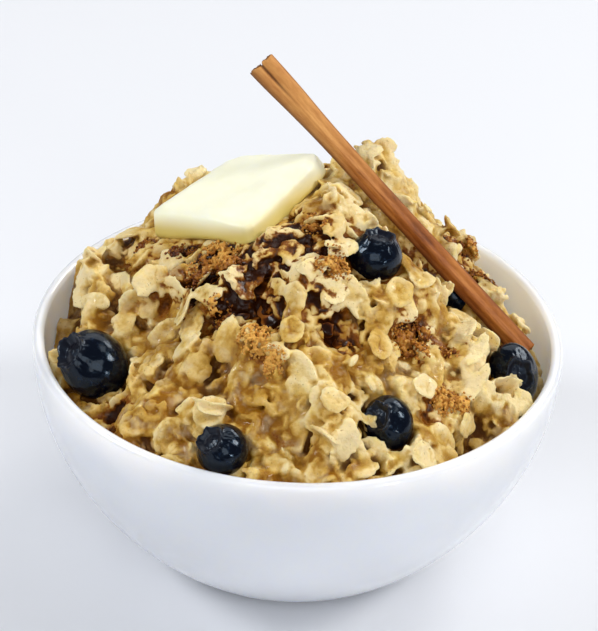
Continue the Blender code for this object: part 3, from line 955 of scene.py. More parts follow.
def press_down(relief):
    """Lowers the heap under the butter to its underside, and in front of each berry and the stick until
    they stand clear of it as seen from the eye. A ragged gap is left under the stick."""
    flat = (raised(relief) - BUTTER_MIDDLE) @ BUTTER_AXES.T
    half = BUTTER_HALF
    beside = np.maximum(np.abs(flat[..., 0]) - half[0], np.abs(flat[..., 1]) - half[1])
    under = smooth(5.0 * MM, 1.5 * MM, beside)
    sagging = 1.9 * MM * smooth(0.5, -0.9, flat[..., 0] / half[0]) * smooth(0.6, -0.8, flat[..., 1] / half[1])
    sink = np.clip(flat[..., 2] + half[2] + sagging - 0.5 * MM, 0, None)
    relief = relief - sink / np.maximum(OUT @ BUTTER_AXES[2], 0.3) * under
    toward_eye = np.maximum(OUT @ EYE, 0.45)
    for _ in range(4):
        for centre, radius, shows, clear in BERRIES:
            place = raised(relief) - centre
            aside, above, near = place[..., 0], place @ UPRIGHT, place @ EYE
            far = np.hypot(aside, above)
            front = np.sqrt(np.clip(radius**2 - far**2, 0, None)) - 0.6 * MM
            window = np.hypot(aside, above + (1 - clear) * 0.4 * radius) - radius * clear
            seen = smooth(1.2 * MM, 0.2 * MM, window) * smooth(-1.2, -1.0, above / radius / shows)
            relief = relief - seen * (near > -radius) * np.clip(near - front, 0, 5 * MM) / toward_eye
        t, away, off = beside_stick(raised(relief))
        near, beside = off @ EYE, away @ STICK_ACROSS
        along = smooth(0, 0.03, t) * smooth(0.9, 0.8, t) * (near > -6 * MM)
        seen = smooth(4.6 * MM, 3.4 * MM, np.abs(beside)) * along
        relief = relief - seen * np.clip(near + 1.5 * MM, 0, 5 * MM) / toward_eye
    beside = beside + 1.8 * MM * ragged(GX, GY, 0 * GX, 6 * MM, 39)
    gap = smooth(-8 * MM, -4 * MM, beside) * smooth(1 * MM, -2.5 * MM, beside) * along * smooth(0.04, 0.15, t)
    return relief - gap * np.clip(near + 4 * MM, 0, 6 * MM)


def heap_place(points):
    """Heap coordinates of points: the place (x, y) whose normal runs through each, and the way along it,
    found by stepping back along the normals a few times."""
    x, y = points[:, 0], points[:, 1]
    for _ in range(4):
        out = read(OUT, x, y)
        along = ((points - read(BASE, x, y)) * out).sum(-1)
        x, y = points[:, 0] - out[:, 0] * along, points[:, 1] - out[:, 1] * along
    return x, y, along


def rim_loop(rows, columns):
    """The indices round the edge of a grid, anticlockwise."""
    front, right = np.arange(columns), np.arange(1, rows) * columns + columns - 1
    back = (rows - 1) * columns + np.arange(columns - 2, -1, -1)
    left = np.arange(rows - 2, 0, -1) * columns
    return np.concatenate([front, right, back, left])


def disc_grid(side):
    """A square grid pressed onto a disc: concentric squares become circles. Gives shares and angles."""
    s = np.linspace(-1, 1, side)
    u, v = np.meshgrid(s, s)
    share = np.maximum(np.abs(u), np.abs(v))
    flat = np.abs(u) >= np.abs(v)
    ratio = np.where(flat, v, u) / np.where(flat, np.where(u == 0, 1, u), v) * math.pi / 4
    return share, np.where(flat, ratio + math.pi * (u < 0), np.sign(v) * math.pi / 2 - ratio)


def cream_shell(relief, half):
    """A disc of points raised along the heap's normals, whose edge goes on down the bowl's inside and closes
    in a flat underside. Past the middle line the disc is drawn in to a strip, which leaves one half of it."""
    side, top_share, strip = 380, 0.97, 3 * MM
    share, a = disc_grid(side)
    reach = HEAP_RADIUS * np.minimum(share / top_share, 1)

    def drawn_in(y):
        """y past the middle line becomes s (1 - exp(-y / s)), s being the strip's width."""
        past = np.clip(y * half, 0, None)
        return np.where(y * half > 0, half * strip * (1 - np.exp(-past / strip)), y)

    x, y = reach * np.cos(a), drawn_in(reach * np.sin(a))
    points = inside_bowl(surface(relief, x, y))
    rim = points[..., 2]
    z = rim + (HEAP_FLOOR - rim) * np.clip((share - top_share) / (1 - top_share), 0, 1)
    r = np.minimum(inner_radius(z) - ROOM_AT_WALL, HEAP_RADIUS)
    skirt = np.stack([r * np.cos(a), drawn_in(r * np.sin(a)), z], -1)
    points = np.where((share > top_share)[..., None], skirt, points)
    quads = grid_faces(side, side, closed=False)
    loop = rim_loop(side, side)
    fan = np.stack([np.roll(loop, -1), loop, np.full(len(loop), side * side)], -1)
    return np.concatenate([points.reshape(-1, 3), [[0, -half * 20 * MM, HEAP_FLOOR]]]), [quads, fan]


def flake_shells(flakes, around, shares):
    """The flakes as closed shells, roughened by noise, and kept inside the bowl."""
    rings, ends = flakes.rings(around, np.array(shares))
    rough = 0.32 * MM * ragged(rings[..., 0], rings[..., 1], rings[..., 2], 2.8 * MM, 41)
    rings = inside_bowl(rings + rough[..., None] * flakes.z[:, None, None])
    return shells(rings, inside_bowl(ends[:, 0]), inside_bowl(ends[:, 1]))


def hides_toppings(points, room):
    """True where a point lies between the eye and a berry or the stick, within its outline and some room."""
    hidden = np.zeros(len(points), bool)
    for centre, radius, shows, clear in BERRIES:
        away = points - centre
        near = away @ EYE
        rise = 0.7 * (1 - shows) - 0.8 * (1 - clear)
        beside = np.hypot(away[:, 0], away @ UPRIGHT - rise * radius)
        outline = radius * clear * (0.4 + 0.6 * shows) + room
        hidden |= (near > -0.3 * radius) & (near < 40 * MM) & (beside < outline)
    t, away, off = beside_stick(points)
    near, beside = off @ EYE, np.abs(away @ STICK_ACROSS)
    return hidden | ((near > -2 * MM) & (near < 30 * MM) & (beside < 2.6 * MM + room) & (t > 0))


def set_by_hand(core, rng):
    """The flakes of the table CHOSEN, thickness, outline and cup being drawn like the others'."""
    x, y, length, width, heading, tilt, lift = (np.array(column, float) for column in zip(*CHOSEN))
    x, y = x * MM, y * MM
    flakes = Flakes(x, y, core, rng, (8, 12), (7, 8), (0, 0.1), (0, 1), (0.2, 1.0), (1.0, 1.4))
    flakes.length, flakes.width = length * MM, width * MM
    up = facing(core, x, y, 3 * MM)
    flakes.x, flakes.y, flakes.z = frames(up, np.radians(heading), np.radians(tilt))
    flakes.middle = surface(core, x, y) + up * (lift * MM)[:, None]
    flakes.tint = flakes.tint * 0.3
    return flakes


def stacked(core, rng):
    """Pale flakes heaped on the clumps that stand out."""
    x, y, radius, _ = (np.repeat(column, 6) for column in np.array(PALE_CLUMPS).T)
    a, q = rng.uniform(0, TAU, len(x)), np.sqrt(rng.random(len(x))) * 0.85
    x, y = round_spot(x, y, radius, a, q)
    flakes = Flakes(x, y, core, rng, (6.5, 11.5), (5, 8), (-0.4, 1.6), (0, 30), (0, 1.8), (1.0, 1.5))
    flakes.tint = flakes.tint * 0.45
    return flakes


def loose_flakes(core, rng):
    """Flakes that stand clear of the cream, each kind with the corners round it and the shares of the way out
    at which its rings lie: whole ones lying on it, ones on edge, bits, stacked and chosen ones."""
    x, y = scattered(5.8, rng)
    lying = Flakes(x, y, core, rng, (6.5, 11), (5.2, 8), (-0.5, 0.8), (0, 13), (0.1, 0.9), (1.2, 1.8))
    x, y = scattered(8.0, rng)
    leaning = Flakes(x, y, core, rng, (6.5, 10.5), (4.5, 7.5), (-1.0, 1.0), (0, 32), (0, 1.1), (1.3, 1.9))
    x, y = scattered(4.0, rng)
    bits = Flakes(x, y, core, rng, (2.0, 5.0), (1.4, 3.2), (-0.2, 0.8), (0, 35), (0, 0.5), (0.9, 1.5))
    covered = gooeyness()
    dips = [place[:3] for place in CHANGES if place[3] < DEEP_CHANGE]
    sunken = np.max([spot(GX, GY, *place) for place in dips], axis=0)
    whole = (30, (0.4, 0.75, 0.93))
    kinds = []
    for flakes, room, looks in (
        (lying, 3.4, whole), (leaning, 3.4, whole), (bits, 1.2, (14, (0.5, 0.88))),
        (stacked(core, rng), 3.0, whole), (set_by_hand(core, rng), 0.0, (44, (0.3, 0.6, 0.85, 0.96))),
    ):
        kept = clear_of_toppings(flakes.middle, room * MM)
        if room:
            kept &= ~hides_toppings(flakes.middle, room * 0.9 * MM)
            chance = rng.uniform(0.35, 1.4, len(kept))
            kept &= (read(covered, *flakes.at.T) < chance) & (pool_share(*flakes.at.T) < chance - 0.1)
            kept &= read(sunken, *flakes.at.T) < 0.35
        kinds.append((flakes.some(kept), *looks))
    return kinds


def joined(parts):
    """Several closed shells as one list of points and faces."""
    starts = np.cumsum([0] + [len(points) for points, _ in parts[:-1]])
    faces = [f + start for (_, lists), start in zip(parts, starts) for f in lists]
    return np.concatenate([points for points, _ in parts]), faces


def stored(items, name, width, kind):
    """One property of all of a mesh's items as an array, width numbers an item."""
    values = np.empty(len(items) * width, kind)
    items.foreach_get(name, values)
    return values


def as_arrays(mesh):
    """A mesh's points, its vertex normals, its edges, and its faces as arrays of one width each."""
    points = stored(mesh.vertices, "co", 3, np.float32).reshape(-1, 3).astype(float)
    normals = stored(mesh.vertices, "normal", 3, np.float32).reshape(-1, 3)
    edges = stored(mesh.edges, "vertices", 2, np.int32).reshape(-1, 2)
    corners = stored(mesh.loops, "vertex_index", 1, np.int32)
    sizes = stored(mesh.polygons, "loop_total", 1, np.int32)
    starts = np.cumsum(sizes) - sizes
    faces = [corners[starts[sizes == n][:, None] + np.arange(n)] for n in np.unique(sizes)]
    return points, normals, edges, faces


def without_bits(points, normals, edges, faces):
    """Leaves out loose bits of a few points: each point takes the lowest number among its neighbours, again
    and again, until every body has one number."""
    a, b = edges.T
    body, before = np.arange(len(points)), None
    while before is None or (body != before).any():
        before = body.copy()
        low = np.minimum(body[a], body[b])
        np.minimum.at(body, a, low)
        np.minimum.at(body, b, low)
        body = body[body]
    kept = np.bincount(body, minlength=len(points))[body] >= FEWEST_POINTS
    place = np.cumsum(kept) - 1
    faces = [place[f[kept[f[:, 0]]]] for f in faces]
    return points[kept], normals[kept], place[edges[kept[a]]], faces


def modified(name, points, faces, kind, **settings):
    """The mesh that one modifier makes of points and faces."""
    piece = make_body(bpy.data.meshes.new(name), points, faces)
    modifier = piece.modifiers.new(name, kind)
    for key, value in settings.items():
        setattr(modifier, key, value)
    result = bpy.data.meshes.new_from_object(piece.evaluated_get(bpy.context.evaluated_depsgraph_get()))
    bpy.data.objects.remove(piece)
    return result


def fused(points, faces, lattice_step):
    """The outer skin round overlapping shells, taken on a fine lattice, so that they melt into one body."""
    return modified("shells", points, faces, "REMESH", mode="VOXEL", voxel_size=lattice_step)


def relaxed(points, edges, pull):
    """Moves every point towards the mean of its neighbours, by its own share, a few times over."""
    a, b = edges.T
    n = len(points)
    degree = np.bincount(np.concatenate([a, b]), minlength=n)[:, None]
    for share in pull:
        near = np.stack([np.bincount(a, c[b], n) + np.bincount(b, c[a], n) for c in points.T], -1) / degree
        points = points + share[:, None] * (near - points)
    return points


def swelling(points, normals, edges, times):
    """How far each point rises along its normal when it is relaxed so many times: above 0 in hollows."""
    pull = [np.full(len(points), 0.6)] * times
    return ((relaxed(points, edges, pull) - points) * normals).sum(-1)


def thinned(points, faces, most):
    """The same skin with no more than so many triangles, fewest where it is flat, and without loose bits."""
    count = sum(len(f) * (f.shape[1] - 2) for f in faces)
    return without_bits(*as_arrays(modified("skin", points, faces, "DECIMATE", ratio=min(1, most / count))))


def bake_places(normals, faces, x, y, along, half):
    """Where each face corner goes on the bake map: upper sides in the upper half, undersides in the lower,
    both by heap coordinates, and what lies hidden in the bowl in one corner."""
    span, overlap = 140 * MM, 5 * MM
    u, v = 0.5 + x / span, 0.02 + np.clip(overlap - half * y, 0, None) / span
    under = (normals * read(OUT, x, y)).sum(-1) < 0
    deep = along < -7 * MM
    lists = []
    for f in faces:
        down, sunk = under[f].mean(axis=1) > 0.5, deep[f].any(axis=1)
        place = np.stack([u[f], np.clip(v[f], 0, 0.495) + np.where(down, 0, 0.5)[:, None]], -1)
        corner = np.array((0.002, 0.002)) + 0.01 * np.stack([u[f], v[f]], -1)
        lists.append(np.where(sunk[:, None, None], corner, place).reshape(-1, 2))
    return np.concatenate(lists)


def porridge_half(name, half, core, kinds, top, tint, finish):
    """Cream and flakes of one half melted together, smoothed most where cream covers the flakes, with a
    fine grain. The marks say how brown a point is, with painted shade towards the left and painted highlight
    where it stands proud, how far it lies below the smoothed top, how hollow the surface is there, and how
    much syrup has soaked in, the stick's painted shadow being laid in with the syrup stains."""
    parts = [cream_shell(core, half)]
    for flakes, around, shares in kinds:
        parts.append(flake_shells(flakes.some(flakes.at[:, 1] * half <= 0), around, shares))
    points, normals, edges, faces = as_arrays(fused(*joined(parts), PORRIDGE_LATTICE))
    wet = read(gooeyness(), points[:, 0], points[:, 1])
    filled = np.clip(swelling(points, normals, edges, 12), 0, None)
    points = relaxed(points + normals * filled[:, None] * 0.9, edges, [0.38 + 0.3 * wet] * 4)
    cracks = np.clip(1 - np.abs(ragged(*points.T, 4.5 * MM, 53)) / 0.16, 0, 1)
    grain = 0.22 * MM * ragged(*points.T, 2.4 * MM, 43) + 0.14 * MM * noise(*points.T, 0.9 * MM, 47)
    grain = (grain - 0.30 * MM * cracks) * (1 - 0.35 * wet)
    points = inside_bowl(points + normals * grain[:, None])
    points, normals, edges, faces = thinned(points, faces, MOST_TRIANGLES)
    x, y, along = heap_place(points)
    narrow, wide = (swelling(points, normals, edges, times) for times in (6, 26))
    below = read(blur(top, 2.2 * MM), x, y) - along
    clump = np.max([spot(x, y, cx, cy, r * 0.9) for cx, cy, r, _ in PALE_CLUMPS], axis=0)
    # The tint takes painted shade, browner towards the left and a little browner on the right, and painted
    # highlight, paler where the surface stands above the smoothed top, besides the listed tint changes
    marks = {
        "tint": read(tint, x, y) + 0.22 * ragged(*points.T, 12 * MM, 3) - 0.28 * clump
        + 0.22 * smooth(10 * MM, -30 * MM, x) + 0.02 * smooth(0, 40 * MM, x)
        - 0.22 * smooth(0.2 * MM, 1.6 * MM, -below)
        + sum(change * spot(x, y, cx, cy, reach) for cx, cy, reach, change in PAINTED_SHADE_AND_TONE),
        "sunken": smooth(0.0, 2.8 * MM, below),
        "hollow": np.clip(0.5 + narrow / (0.45 * MM) + wide / (0.8 * MM), 0, 1),
        # the stains, with the stick's painted shadow among them, count more where the surface lies below the
        # smoothed top
        "stain": stain_and_shadow_at(x, y) * (0.62 + 0.8 * smooth(-0.6 * MM, 2.4 * MM, below)),
    }
    piece = make_piece(name, points, faces, finish, "porridge_heap", marks)
    lay_out(piece, "OFBake", bake_places(normals, faces, x, y, along, half))


def porridge(core, tint, rng, finish):
    """Both halves of the heap. Gives the heights of cream and flakes together."""
    kinds = loose_flakes(core, rng)
    top = core.copy()
    for flakes, _, _ in kinds:
        flakes.stamp(top, tint)
    tint = blur(tint, 0.3 * MM)
    for name, half in (("porridge_front", 1), ("porridge_back", -1)):
        porridge_half(name, half, core, kinds, top, tint, finish)
    return top


# --- sugar and syrup ---


def sugar_crumbs(top, finish, rng):
    """Clumps of damp sugar: hundreds of small balls packed in a dome on each spot and melted together."""
    places, sizes = [], []
    for x, y, radius, high, _ in SUGAR:
        count = int(24 * radius**1.9)
        a, q = rng.uniform(0, TAU, count), rng.random(count) ** 0.62
        q = q * (1 + 0.30 * np.sin(2 * a + x) + 0.20 * np.sin(5 * a + y)) * 0.85
        lift = high * (1 - 0.8 * np.clip(q, 0, 1) ** 2) * rng.random(count) ** 0.6 - 0.3
        places.append(lifted(top, *round_spot(x, y, radius, a, q), lift))
        sizes.append(rng.uniform(0.24, 0.48, count) * MM)
        rng.normal(0, 0.10, count)  # not used, but the draws after it depend on it
    middle, size = np.concatenate(places), np.concatenate(sizes)
    kept = clear_of_toppings(middle, 0.6 * MM)
    middle, size = middle[kept][:, None], size[kept][:, None, None]
    ball = ball_points((np.arange(1, 5) * math.pi / 5)[:, None], np.linspace(0, TAU, 7, endpoint=False))
    uneven = rng.uniform(0.8, 1.25, (len(middle), 4, 7, 1))
    rings = middle[:, None] + ball * size[..., None] * uneven
    ends = middle + size * np.array(((0, 0, 1.0), (0, 0, -1.0)))
    points, faces = shells(rings, ends[:, 0], ends[:, 1])
    points, _, _, faces = without_bits(*as_arrays(fused(points, faces, CRUMB_LATTICE)))
    weight = np.array([spot(*points[:, :2].T, *place[:3]) for place in SUGAR]) + 1e-9
    wet = (np.array(SUGAR)[:, 4:] * weight).sum(0) / weight.sum(0)
    height = (read(blur(top, 1.5 * MM), points[:, 0], points[:, 1]) - heap_place(points)[2]) / (3 * MM)
    marks = {"wet": np.clip(wet + height * 0.7 + 0.10 + 0.3 * noise(*points.T, 0.9 * MM, 57), 0, 1)}
    make_piece("brown_sugar_crumbs", points, faces, finish, "porridge_heap", marks)


def sugar_grains(top, finish, rng):
    """Single grains round and on the crumbs: small boxes with uneven corners."""
    places, damp = [], []
    for x, y, radius, high, wet in SUGAR:
        count = int(26 * radius**1.6 * (1 - 0.7 * wet))
        a, q = rng.uniform(0, TAU, count), rng.random(count) ** 0.6 * 1.15
        lift = np.clip(1 - q**2, 0, 1) * high * 0.9 * rng.random(count) ** 0.5 + 0.1
        places.append(lifted(top, *round_spot(x, y, radius, a, q), lift))
        damp.append(np.clip(wet + rng.normal(-0.1, 0.16, count), 0, 1))
    middle, damp = np.concatenate(places), np.concatenate(damp)
    kept = clear_of_toppings(middle, 0.3 * MM)
    middle, damp = middle[kept], damp[kept]
    n = len(middle)
    corners = np.array([(x, y, z) for z in (-1, 1) for x, y in ((-1, -1), (1, -1), (1, 1), (-1, 1))])
    size = rng.uniform(0.13, 0.28, (n, 1, 3)) * MM
    local = corners[None] * size * rng.uniform(0.75, 1.25, (n, 8, 3))
    up = rng.normal(0, 1, (n, 3))
    up /= np.linalg.norm(up, axis=1, keepdims=True)
    axes = np.stack(frames(up, rng.uniform(0, TAU, n), np.zeros(n)), 1)
    points = middle[:, None] + np.einsum("nki,nij->nkj", local, axes)
    box = np.array(((3, 2, 1, 0), (4, 5, 6, 7), (0, 1, 5, 4), (1, 2, 6, 5), (2, 3, 7, 6), (3, 0, 4, 7)))
    faces = (box[None] + (np.arange(n) * 8)[:, None, None]).reshape(-1, 4)
    points, marks = points.reshape(-1, 3), {"wet": np.repeat(damp, 8)}
    piece = make_piece("brown_sugar_grains", points, [faces], finish, "porridge_heap", marks)
    piece.data.polygons.foreach_set("use_smooth", np.zeros(len(faces), bool))


def syrup_piece(core):
    """Syrup standing in the hollows: the blurred surface, sunk away outside the pools, as a closed sheet.
    The mark says how deep it stands over the heap."""
    x, y = np.meshgrid(np.linspace(-32, 22, 150) * MM, np.linspace(-40, 8, 138) * MM)
    share = pool_share(x, y) + 0.14 * ragged(x, y, 0 * x, 5 * MM, 61)
    flat = read(blur(core, 2.2 * MM) - 0.9 * MM, x, y)
    ripples = 0.15 * MM * ragged(x, y, 0 * x, 3 * MM, 63)
    height = flat - 6 * MM * smooth(0.55, 0.22, share) + ripples
    upper = read(BASE, x, y) + read(OUT, x, y) * height[..., None]
    lower = upper - read(OUT, x, y) * 2 * MM
    rows, columns = x.shape
    count = rows * columns
    quads = grid_faces(rows, columns, closed=False)
    loop = rim_loop(rows, columns)
    after = np.roll(loop, -1)
    wall = np.stack([loop, loop + count, after + count, after], -1)
    depth = np.clip((height - read(core, x, y)) / (1.8 * MM), 0, 1).ravel()
    faces = [np.concatenate([quads, quads[:, ::-1] + count, wall])]
    points = np.concatenate([upper.reshape(-1, 3), lower.reshape(-1, 3)])
    marks = {"depth": np.concatenate([depth, depth])}
    make_piece("sugar_syrup", points, faces, syrup_finish(), "porridge_heap", marks)


# --- butter, stick, berries ---


def butter_piece():
    """A rounded box, softened: q on the box, its inner core c = clip(q, h - r), p = c + r (q - c) / |q - c|,
    spread at its foot, with a sagging near corner and slow waves of a fraction of a millimetre. u and v run
    from -1 to 1 along its two long sides."""
    half = BUTTER_HALF
    around, rows = 176, 96
    a = np.linspace(0, TAU, around, endpoint=False)
    b = np.linspace(0, math.pi, rows + 2)[1:-1, None]
    stretch = ball_points(b, a) * np.array((1, 1, 0.75))
    q = stretch / np.abs(stretch / half).max(axis=-1, keepdims=True)
    radius = 2.3 * MM
    core = np.clip(q, -(half - radius), half - radius)
    out = (q - core) / np.linalg.norm(q - core, axis=-1, keepdims=True)
    p = core + radius * out
    swell = 0.38 * MM * ragged(p[..., 0], p[..., 1], p[..., 2], 9 * MM, 71)
    p = p + out * swell[..., None]
    low = smooth(0.6, -0.9, p[..., 2] / half[2])
    p[..., :2] += 1.3 * MM * low[..., None] * out[..., :2]
    u, v = p[..., 0] / half[0], p[..., 1] / half[1]
    cut = 1 - np.maximum(np.abs(u), np.abs(v)) / (np.abs(u) ** 7 + np.abs(v) ** 7) ** (1 / 7)
    p[..., :2] *= (1 - cut * (0.35 + 0.65 * smooth(-0.6, 0.6, v)))[..., None]
    near = smooth(0.1, 1.0, u) * smooth(0.1, -1.0, v)
    left = smooth(-0.2, -1.0, u) * smooth(0.2, -1.0, v)
    p[..., 2] += (1.5 * np.clip(u, -1, 1) + 0.6) * MM * smooth(-0.2, 1, v) - 1.6 * MM * near
    p[..., 2] -= 1.3 * MM * smooth(0.5, 1.1, u) * smooth(-1, 0, v) * smooth(1.1, 0.5, v)
    right = smooth(0.2, 1.0, u) * smooth(0.2, 1.0, v)
    p[..., 0] += 0.9 * MM * near - 2.2 * MM * left + 1.0 * MM * right
    p[..., 1] += 1.2 * MM * right - 0.8 * MM * left
    foot = smooth(0.3, -0.7, p[..., 2] / half[2])
    p[..., 2] -= 1.7 * MM * foot * smooth(0.5, -0.9, u) * smooth(0.6, -0.8, v)
    ends = np.array(((0, 0, half[2]), (0, 0, -half[2])))
    sides, first, last = (BUTTER_MIDDLE + local @ BUTTER_AXES for local in (p, ends[:1], ends[1:]))
    points, faces = shells(sides[None], first, last)
    # 1 at the foot, 0 over the upper part: partly melting, partly painted shade on the lower sides
    marks = {"melt": np.concatenate([[0.0], smooth(0.9, -0.6, p[..., 2] / half[2]).ravel(), [1.0]])}
    make_piece("soft_butter", points, faces, butter_finish(), "butter_pat", marks)


def bark_section(t, count):
    """The outer and inner lines of the rolled bark at the share t of its length: two rolls side by side, each
    a spiral R - pitch a that winds in and under, with R - c (R - sqrt(R^2 - (g (1 - |m|))^2)) between them,
    g being half the way between the rolls and c the depth of the crease, deepest at the tip. Also how much
    painted shade the bark takes along those lines: on both flanks, most on the +x one, and in the crease."""
    turns = 1.35
    flare = smooth(0.72, 1.0, t)
    radius = SCROLL_RADIUS - 0.12 * MM * np.sin(math.pi * t) + 0.32 * MM * flare
    half_gap = SCROLL_SPACING / 2 - 0.30 * MM + 0.55 * MM * flare
    crease = 0.08 + 0.92 * smooth(0.83, 0.98, t)
    pitch = (BARK_THICK + 0.18 * MM) / TAU
    a = np.linspace(0, TAU * turns, count)[None, :]
    lines = []
    for inset in (0, BARK_THICK):
        r = radius - inset - pitch * a
        x, y = half_gap + r * np.sin(a), r * np.cos(a)
        m = np.linspace(-1, 1, 17)[None, 1:-1]
        mx = half_gap * m + 0 * t
        fall = radius - np.sqrt(np.clip(radius**2 - (half_gap * (1 - np.abs(m))) ** 2, 0, None))
        my = radius - inset - crease * fall + 0.95 * MM * (1 - flare) * np.cos(math.pi * m / 2)
        lines.append((np.concatenate([-x[:, ::-1], mx, x], 1), np.concatenate([y[:, ::-1], my, y], 1)))
    # Painted shade: darker in the crease near the tip and towards the +x side, and on both flanks, the +x
    # flank most
    groove = 0.9 * smooth(0.85, 0.96, t) * np.exp(-((m / 0.2) ** 2)) + 0.16 * smooth(0.1, 1, m)
    flank = 0.62 * smooth(0.8, 1.8, a) + 0 * t
    shaded = 0.16 + 0.62 * smooth(0, 1.0, a) + 0 * t
    bark_shade = np.concatenate([flank[:, ::-1], groove, shaded], 1)
    return lines + [np.concatenate([bark_shade, np.ones_like(bark_shade)], 1)]


def stick_piece():
    """The bark's section carried along the stick's axis, with lengthwise fibres as small ridges."""
    long = np.linalg.norm(STICK_LINE)
    z = STICK_LINE / long
    x = np.cross(SEAM_FACES, z)
    x /= np.linalg.norm(x)
    y = np.cross(z, x)
    rows, count = 150, 46
    t = np.linspace(0, 1, rows)[:, None]
    (ox, oy), (ix, iy), dark = bark_section(t, count)
    sx, sy = np.concatenate([ox, ix[:, ::-1]], 1), np.concatenate([oy, iy[:, ::-1]], 1)
    columns = sx.shape[1]
    j = np.arange(columns)[None, :]
    ridge = 0.09 * MM * noise(j * 0.45, t * 5, 0 * sx, 1.0, 81)
    ridge = ridge + 0.14 * MM * noise(j * 0.14, t * 7, 0 * sx, 1.0, 83)
    size = np.hypot(sx, sy) + 1e-9
    sx, sy = sx * (1 + ridge / size), sy * (1 + ridge / size)
    ragged_end = 0.5 * MM * noise(j * 0.3, 0 * j, 0 * j, 1.0, 85)
    along = t * long + ragged_end * (np.abs(2 * t - 1) ** 30) * np.sign(t - 0.5)
    bow = 0.8 * MM * np.sin(math.pi * t)
    points = STICK_FOOT + along[..., None] * z + sx[..., None] * x + (sy + bow)[..., None] * y
    sides = grid_faces(rows, columns)[:, ::-1]
    i = np.arange(columns // 2 - 1)
    cap = np.stack([i, i + 1, columns - 2 - i, columns - 1 - i], -1)
    end = cap[:, ::-1] + (rows - 1) * columns
    points, faces = points.reshape(-1, 3), [np.concatenate([sides, cap, end])]
    finish, marks = bark_finish(), {"dark": dark}
    piece = make_piece("cinnamon_quill", points, faces, finish, "cinnamon_stick", marks)
    where = np.stack([j / columns * 0.06 + 0 * sx, t + 0 * sx], -1).reshape(-1, 2)
    lay_out(piece, "along", where[stored(piece.data.loops, "vertex_index", 1, np.int32)])


def berry_piece(index, finish):
    """A ball a little flat at its poles. Round the crown, at the angle b from it, a torn collar stands up:
    r = R (1 - 0.06 cos^2 b + collar - cup + wrinkles). Then it is drawn out along its longest line."""
    rng = np.random.default_rng(300 + index)
    middle, radius = BERRY_MIDDLES[index], BERRY_RADII[index]
    rows, around = 96, 112
    a = np.linspace(0, TAU, around, endpoint=False)[None, :]
    b = (math.pi * (np.arange(1, rows + 1) / (rows + 1)) ** 1.3)[:, None]
    phase = rng.uniform(0, TAU)
    lobes = 0.5 + 0.5 * np.cos(5 * (a - phase) + 0.9 * np.sin(2 * a + phase))
    torn = noise(np.cos(a) * 3, np.sin(a) * 3, 0 * a + index, 0.45, 90 + index)
    height = 0.055 + 0.075 * lobes + 0.035 * torn
    foot = 0.50 + 0.05 * lobes + 0.02 * torn
    collar = height * np.exp(-(((b - foot) / 0.07) ** 2)) + 0.03 * np.exp(-(((b - foot - 0.10) / 0.12) ** 2))
    cup = 0.15 * smooth(foot + 0.02, foot - 0.12, b) * (1 - 0.35 * smooth(0.15, 0, b))
    wrinkles = 0.022 * ragged(np.cos(a) * 5, np.sin(a) * 5, b * 2.5, 1.1, 95 + index)
    wrinkles = wrinkles * (0.3 + np.exp(-(((b - 0.75) / 0.4) ** 2)))
    dents = 0.012 * noise(np.cos(a) * np.sin(b), np.sin(a) * np.sin(b), np.cos(b), 0.5, index)
    r = radius * 0.99 * (1 - 0.06 * np.cos(b) ** 2 + collar - cup + wrinkles + dents)
    ball = ball_points(b, a) * r[..., None]
    up = np.array(CROWNS[index]) / np.linalg.norm(CROWNS[index])
    axes = np.stack(frames(up[None], np.zeros(1), np.zeros(1)), 1)[0]
    ends = np.array(((0, 0, r[0].mean()), (0, 0, -r[-1].mean())))
    right, above, long = BERRY_LONG[index]
    line = right * np.array((1, 0, 0)) + above * UPRIGHT
    middle = middle + line * radius * (long - 1) / 2
    axes = axes + (long - 1) * (axes @ line)[:, None] * line / (line @ line)
    points, faces = shells((middle + ball @ axes)[None], middle + ends[:1] @ axes, middle + ends[1:] @ axes)
    near = smooth(foot + 0.22, foot - 0.02, b) * np.ones_like(a)
    marks = {"crown": np.concatenate([[1.0], near.ravel(), [0.0]])}
    name = f"blueberry_{index + 1}"
    make_piece(f"{name}_skin", points, faces, finish, name, marks)


# --- setting ---


def floor():
    """A wide pale ground at z = 0, not part of the model."""
    bpy.ops.mesh.primitive_plane_add(size=6)
    plane = bpy.context.object
    plane.name = "pale_floor"
    plane.data.materials.append(floor_finish())


def area_light(name, place, aim, size, power, colour):
    """A lamp of a given width and height, turned from its place towards its aim."""
    data = bpy.data.lights.new(name, "AREA")
    data.shape = "RECTANGLE"
    data.size, data.size_y = size
    data.energy = power
    data.color = colour
    lamp = bpy.data.objects.new(name, data)
    lamp.location = place
    lamp.rotation_euler = (Vector(aim) - Vector(place)).to_track_quat("-Z", "Y").to_euler()
    bpy.context.scene.collection.objects.link(lamp)


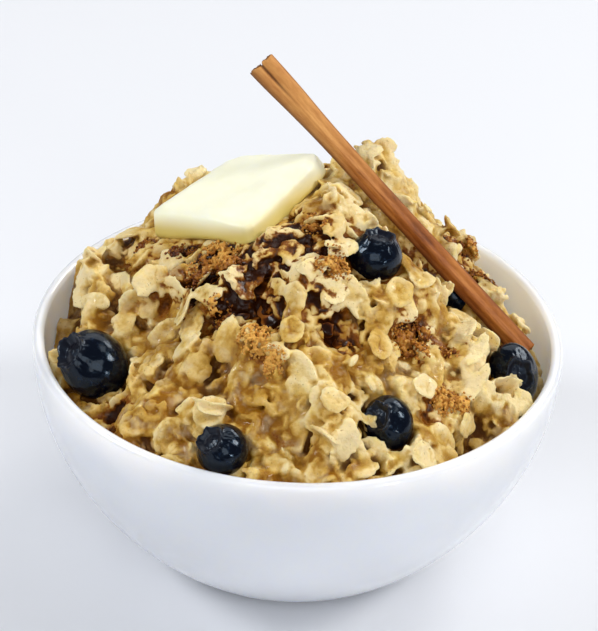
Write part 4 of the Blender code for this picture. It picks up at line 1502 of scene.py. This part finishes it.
def lights():
    """Two small windows, wide soft lights all round, a key behind and a glint in front, and a dim sky."""
    for name, place, aim, size, power, colour in (
        ("window_right", (1.10, -0.08, 1.0), 0.06, (0.38, 0.42), 8.8, (1.0, 0.99, 0.97)),
        ("window_left", (-0.9, -0.1, 0.8), 0.06, (0.32, 0.36), 6.4, (0.96, 0.98, 1.0)),
        ("soft_front", (0.0, -1.5, 1.1), 0.04, (1.4, 1.0), 11.8, (0.97, 0.985, 1.0)),
        ("soft_back", (0.0, 1.6, 1.4), 0.04, (1.8, 1.0), 7.6, (0.97, 0.985, 1.0)),
        ("soft_top", (0.45, 0.15, 1.25), 0.06, (0.5, 0.5), 1.8, (1.0, 0.995, 0.98)),
        ("key_back_right", (0.75, 0.85, 0.95), 0.06, (0.55, 0.45), 6, (1.0, 0.99, 0.97)),
        ("glint_front", (0.92, -1.15, 0.30), 0.06, (0.13, 0.11), 2.2, (0.93, 0.97, 1.0)),
    ):
        area_light(name, place, (0, 0, aim), size, power, colour)
    world = bpy.context.scene.world or bpy.data.worlds.new("studio")
    bpy.context.scene.world = world
    world.use_nodes = True
    background = world.node_tree.nodes["Background"]
    background.inputs["Color"].default_value = (0.93, 0.955, 1.0, 1)
    background.inputs["Strength"].default_value = 0.165


def camera():
    """Looks along +Y from 33 degrees above, turned a little about its own line of sight."""
    elevation, distance, roll = math.radians(32.91), 0.8, math.radians(2.62)
    target = Vector((0, 0, 67.8 * MM))
    data = bpy.data.cameras.new("camera")
    data.lens = 173.3
    data.sensor_width = 36
    data.clip_start, data.clip_end = 0.05, 20
    view = bpy.data.objects.new("camera", data)
    back = Vector((0, -math.cos(elevation), math.sin(elevation)))
    view.location = target + back * distance
    level = (-back).to_track_quat("-Z", "Y").to_matrix()
    view.rotation_euler = (level @ Matrix.Rotation(roll, 3, "Z")).to_euler()
    bpy.context.scene.collection.objects.link(view)
    bpy.context.scene.camera = view
    bpy.context.scene.view_settings.view_transform = "Standard"


rng = np.random.default_rng(11)
core, core_tint = porridge_relief(rng)
berry_skin = berry_finish()
oats = porridge_finish()
sugar = sugar_finish()

camera()
floor()
lights()
bowl_piece()
top = porridge(core, core_tint, rng, oats)
sugar_crumbs(top, sugar, rng)
sugar_grains(top, sugar, rng)
syrup_piece(core)
butter_piece()
stick_piece()
for berry in range(len(CROWNS)):
    berry_piece(berry, berry_skin)
